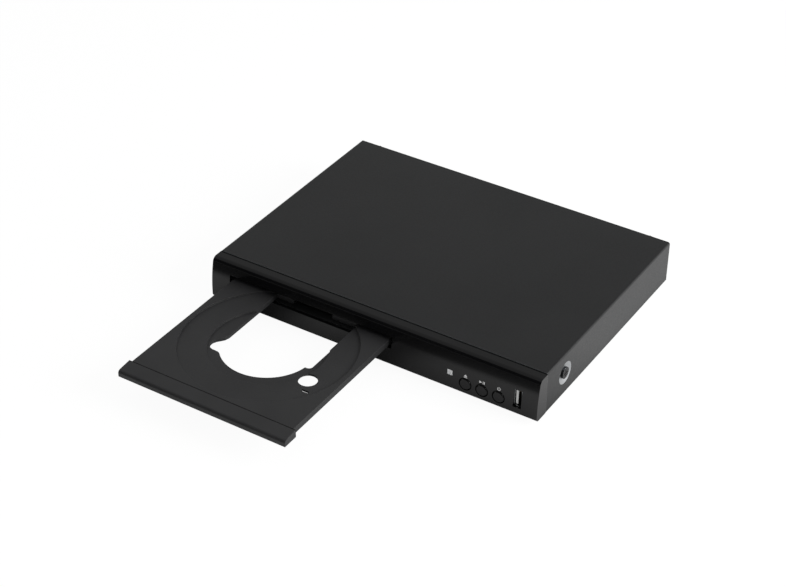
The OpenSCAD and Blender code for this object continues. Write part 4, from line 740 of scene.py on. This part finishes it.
def printFront():
    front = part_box("front_bezel")[0].y / mm
    radius, middle = frontPrint["faceRadius"], frontPrint["faceMiddle"]

    def faceDepth(z):
        return front + radius - math.sqrt(radius ** 2 - (z - middle) ** 2)

    for node, shapes in frontSymbols.items():
        low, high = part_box(node)
        x = (low.x + high.x) / 2 / mm
        z = (low.z + high.z) / 2 / mm + frontPrint["rise"]
        half = frontPrint["half"]
        outlines = [[(x + a * half, z + b * half) for a, b in shape] for shape in shapes]
        printInk(node.replace("_button", "Symbol"), outlines, faceDepth, -1, frontPrint["ink"])


# mm: margin round a socket, space kept at the panel's upper and lower edge, gap below the arrow
rearPrint = {"line": 0.35, "margin": 2.2, "ink": 0.03, "arrow": 1.5, "upper": 6, "lower": 1, "gap": 0.5}


# a drawn box round each socket on the rear, with an arrow out of it, as such panels have
def printRear():
    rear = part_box("rear_panel")[1].y / mm
    line, margin, size = rearPrint["line"], rearPrint["margin"], rearPrint["arrow"]
    for node, name in (("round_sockets", "soundFrame"), ("video_socket", "pictureFrame")):
        low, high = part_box(node)
        x0, x1 = low.x / mm - margin, high.x / mm + margin
        z0, z1 = low.z / mm - margin, high.z / mm + margin + 2 * size
        z1 = min(z1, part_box("rear_panel")[1].z / mm - rearPrint["upper"])
        z0 = max(z0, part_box("rear_panel")[0].z / mm + rearPrint["lower"])
        middle, foot = (x0 + x1) / 2, z1 + rearPrint["gap"]
        outlines = [bar(x0, z0, x1, z0 + line), bar(x0, z1 - line, x1, z1),
                    bar(x0, z0, x0 + line, z1), bar(x1 - line, z0, x1, z1)]
        outlines.append([(middle - size, foot), (middle + size, foot), (middle, foot + size)])
        printInk(name, outlines, lambda z: rear, 1, rearPrint["ink"])


printFront()
printRear()
print("symbols printed")


# leads, contacts and small components, grown by node trees

def startTree(name, sizes):
    tree = bpy.data.node_groups.new(name, "GeometryNodeTree")
    kinds = {"count": "NodeSocketInt", "size": "NodeSocketFloat",
             "place": "NodeSocketVector", "finish": "NodeSocketMaterial"}
    for label, kind in sizes.items():
        tree.interface.new_socket(label, in_out="INPUT", socket_type=kinds[kind])
    tree.interface.new_socket("Geometry", in_out="OUTPUT", socket_type="NodeSocketGeometry")
    return tree, addNode(tree, "NodeGroupInput").outputs


def endTree(tree, grown, finish):
    real = addNode(tree, "GeometryNodeRealizeInstances", None, {0: grown})
    applied = addNode(tree, "GeometryNodeSetMaterial", None, {"Geometry": real.outputs[0], "Material": finish})
    addNode(tree, "NodeGroupOutput", None, {0: applied.outputs[0]})


def growMesh(tree, values):
    seed = bpy.data.objects.new("seed", bpy.data.meshes.new("seed"))
    scene.collection.objects.link(seed)
    grow = seed.modifiers.new("grow", "NODES")
    grow.node_group = tree
    for item in tree.interface.items_tree:
        if item.in_out == "INPUT":
            grow[item.identifier] = values[item.name]
    grown = bpy.data.meshes.new_from_object(seed.evaluated_get(bpy.context.evaluated_depsgraph_get()))
    seed.modifiers.remove(grow)
    bpy.data.objects.remove(seed)
    return grown


def keepPiece(name, mesh, place):
    mesh.transform(Matrix.Translation(place))
    mesh.name = name
    piece = bpy.data.objects.new(name, mesh)
    scene.collection.objects.link(piece)
    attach(piece, "case")


# rows of bent strips, one row on each of several sides
def leadTree():
    tree, given = startTree("leadRows", {
        "Count": "count", "Start": "place", "Step": "place", "Sides": "count", "Turn": "size",
        "Root": "place", "Root Pull": "place", "Foot Pull": "place", "Foot": "place",
        "Width": "size", "Thickness": "size", "Finish": "finish"})
    bend = addNode(tree, "GeometryNodeCurvePrimitiveBezierSegment", {"mode": "POSITION"},
                   {"Resolution": 5, "Start": given["Root"], "Start Handle": given["Root Pull"],
                    "End Handle": given["Foot Pull"], "End": given["Foot"]})
    section = addNode(tree, "GeometryNodeCurvePrimitiveQuadrilateral", {"mode": "RECTANGLE"},
                      {0: given["Width"], 1: given["Thickness"]})
    strip = addNode(tree, "GeometryNodeCurveToMesh", None,
                    {"Curve": bend.outputs[0], "Profile Curve": section.outputs[0], "Fill Caps": True})
    row = addNode(tree, "GeometryNodeMeshLine", {"mode": "OFFSET"},
                  {"Count": given["Count"], "Start Location": given["Start"], "Offset": given["Step"]})
    leads = addNode(tree, "GeometryNodeInstanceOnPoints", None,
                    {"Points": row.outputs[0], "Instance": strip.outputs[0]})
    sides = addNode(tree, "GeometryNodeMeshLine", {"mode": "OFFSET"},
                    {"Count": given["Sides"], "Offset": (0, 0, 0)})
    index = addNode(tree, "GeometryNodeInputIndex")
    angle = addNode(tree, "ShaderNodeMath", product, {0: index.outputs[0], 1: given["Turn"]})
    turned = addNode(tree, "ShaderNodeCombineXYZ", None, {"Z": angle.outputs[0]})
    rows = addNode(tree, "GeometryNodeInstanceOnPoints", None,
                   {"Points": sides.outputs[0], "Instance": leads.outputs[0], "Rotation": turned.outputs[0]})
    endTree(tree, rows.outputs[0], given["Finish"])
    return tree


# small components on a grid, some left out by chance, each of one or more blocks
def scatterTree():
    tree, given = startTree("boardScatter", {
        "Across": "size", "Along": "size", "Columns": "count", "Rows": "count",
        "Missing": "size", "Seed": "count", "Blocks": "count", "First": "place",
        "Gap": "place", "Size": "place", "Finish": "finish"})
    grid = addNode(tree, "GeometryNodeMeshGrid", None,
                   {"Size X": given["Across"], "Size Y": given["Along"],
                    "Vertices X": given["Columns"], "Vertices Y": given["Rows"]})
    spots = addNode(tree, "GeometryNodeMeshToPoints", None, {"Mesh": grid.outputs[0]})
    chance = addNode(tree, "FunctionNodeRandomValue", {"data_type": "BOOLEAN"},
                     {"Probability": given["Missing"], "Seed": given["Seed"]})
    kept = addNode(tree, "GeometryNodeDeleteGeometry", {"domain": "POINT"},
                   {"Geometry": spots.outputs[0], "Selection": chance.outputs[3]})
    block = addNode(tree, "GeometryNodeMeshCube", None, {"Size": given["Size"]})
    ends = addNode(tree, "GeometryNodeMeshLine", {"mode": "OFFSET"},
                   {"Count": given["Blocks"], "Start Location": given["First"], "Offset": given["Gap"]})
    part = addNode(tree, "GeometryNodeInstanceOnPoints", None,
                   {"Points": ends.outputs[0], "Instance": block.outputs[0]})
    placed = addNode(tree, "GeometryNodeInstanceOnPoints", None,
                     {"Points": kept.outputs[0], "Instance": part.outputs[0]})
    endTree(tree, placed.outputs[0], given["Finish"])
    return tree


leadRows, boardScatter = leadTree(), scatterTree()
# mm: corner is the bare length at each end of a row, and the pulls of the bend are shares of the reach
gullWing = {"reach": 2.0, "width": 0.3, "thickness": 0.15, "sink": 0.05, "corner": 1.5,
            "rootPull": 0.6, "footPull": 0.4}


# gull-wing leads round a chip, from half its height down to the board
def leadChip(name, low, high, sides, count, along):
    middle = (low + high) / 2
    rise = middle.z - low.z
    half = (high.y - low.y) / 2 if along == "x" else (high.x - low.x) / 2
    span = ((high.x - low.x) if along == "x" else (high.y - low.y)) - 2 * gullWing["corner"] * mm
    reach, sink = gullWing["reach"] * mm, gullWing["sink"] * mm
    foot = -rise + sink
    mesh = growMesh(leadRows, {
        "Count": count, "Start": (-span / 2, 0, 0), "Step": (span / (count - 1), 0, 0), "Sides": sides,
        "Turn": 2 * math.pi / sides, "Root": (0, -half + sink, 0),
        "Root Pull": (0, -half - gullWing["rootPull"] * reach, 0),
        "Foot Pull": (0, -half - gullWing["footPull"] * reach, foot), "Foot": (0, -half - reach, foot),
        "Width": gullWing["width"] * mm, "Thickness": gullWing["thickness"] * mm, "Finish": tinnedLead})
    if along == "y":
        mesh.transform(Matrix.Rotation(math.pi / 2, 4, "Z"))
    keepPiece(name, mesh, middle)


portContact = {"count": 4, "pitch": 2.2, "width": 1.0, "thickness": 0.12, "length": 3.5,
               "inset": 2.2, "face": -0.45}
videoContact = {"count": 10, "pitch": 1.0, "width": 0.45, "thickness": 0.12, "length": 5.5,
                "inset": 1.2, "shelf": 3.25}


# a row of straight strips: step leads from one to the next, and run along each
def growStrips(spec, step, run, across, up):
    step, run = Vector(step) * spec["pitch"] * mm, Vector(run) * spec["length"] * mm
    return growMesh(leadRows, {
        "Count": spec["count"], "Start": tuple(step * (1 - spec["count"]) / 2), "Step": tuple(step),
        "Sides": 1, "Turn": 0.0, "Root": (0, 0, 0), "Root Pull": tuple(run / 3),
        "Foot Pull": tuple(run * 2 / 3), "Foot": tuple(run),
        "Width": across * mm, "Thickness": up * mm, "Finish": contactGold})


# four strips on the right face of the port's tongue
def layPortContacts():
    low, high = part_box("port_tongue")
    c = portContact
    mesh = growStrips(c, (0, 0, 1), (0, 1, 0), c["thickness"], c["width"])
    place = ((low.x + high.x) / 2 + c["face"] * mm, low.y + c["inset"] * mm, (low.z + high.z) / 2)
    keepPiece("portContacts", mesh, place)


# a row of strips on the shelf inside the video socket
def layVideoContacts():
    low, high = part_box("video_socket")
    c = videoContact
    mesh = growStrips(c, (1, 0, 0), (0, -1, 0), c["width"], c["thickness"])
    place = ((low.x + high.x) / 2, high.y - c["inset"] * mm, low.z + c["shelf"] * mm)
    keepPiece("videoContacts", mesh, place)


smallParts = {"across": 36.0, "along": 14.0, "columns": 10, "rows": 5, "missing": 0.35, "seed": 7,
              "body": (1.5, 1.2, 0.9), "cap": (0.4, 1.3, 1.0), "capSide": 0.9, "fromRear": 36.0}


# ceramic components behind the capacitors on the main board, bodies and end caps at the same places
def scatterSmallParts():
    low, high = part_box("main_board")
    p = smallParts
    place = ((low.x + high.x) / 2, high.y - p["fromRear"] * mm, high.z)
    shared = {"Across": p["across"] * mm, "Along": p["along"] * mm, "Columns": p["columns"],
              "Rows": p["rows"], "Missing": p["missing"], "Seed": p["seed"]}
    lift = p["body"][2] / 2 * mm
    bodies = growMesh(boardScatter, {**shared, "Blocks": 1, "First": (0, 0, lift), "Gap": (0, 0, 0),
                                     "Size": [s * mm for s in p["body"]], "Finish": tanCeramic})
    keepPiece("smallPartBodies", bodies, place)
    side, lift = p["capSide"] * mm, p["cap"][2] / 2 * mm
    caps = growMesh(boardScatter, {**shared, "Blocks": 2, "First": (-side, 0, lift), "Gap": (2 * side, 0, 0),
                                   "Size": [s * mm for s in p["cap"]], "Finish": tinnedLead})
    keepPiece("smallPartCaps", caps, place)


# leads on a side of each chip, and the width of one memory chip in mm
chipLeads = {"processor": 20, "memory": 9, "memoryWide": 10}


def leadChips():
    low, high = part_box("main_processor")
    leadChip("processorLeads", low, high, 4, chipLeads["processor"], "x")
    low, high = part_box("memory_chips")
    width, count = chipLeads["memoryWide"] * mm, chipLeads["memory"]
    leadChip("memoryLeadsLeft", low, Vector((low.x + width, high.y, high.z)), 2, count, "y")
    leadChip("memoryLeadsRight", Vector((high.x - width, low.y, low.z)), high, 2, count, "y")


leadChips()
layPortContacts()
layVideoContacts()
scatterSmallParts()
print("leads and contacts grown")
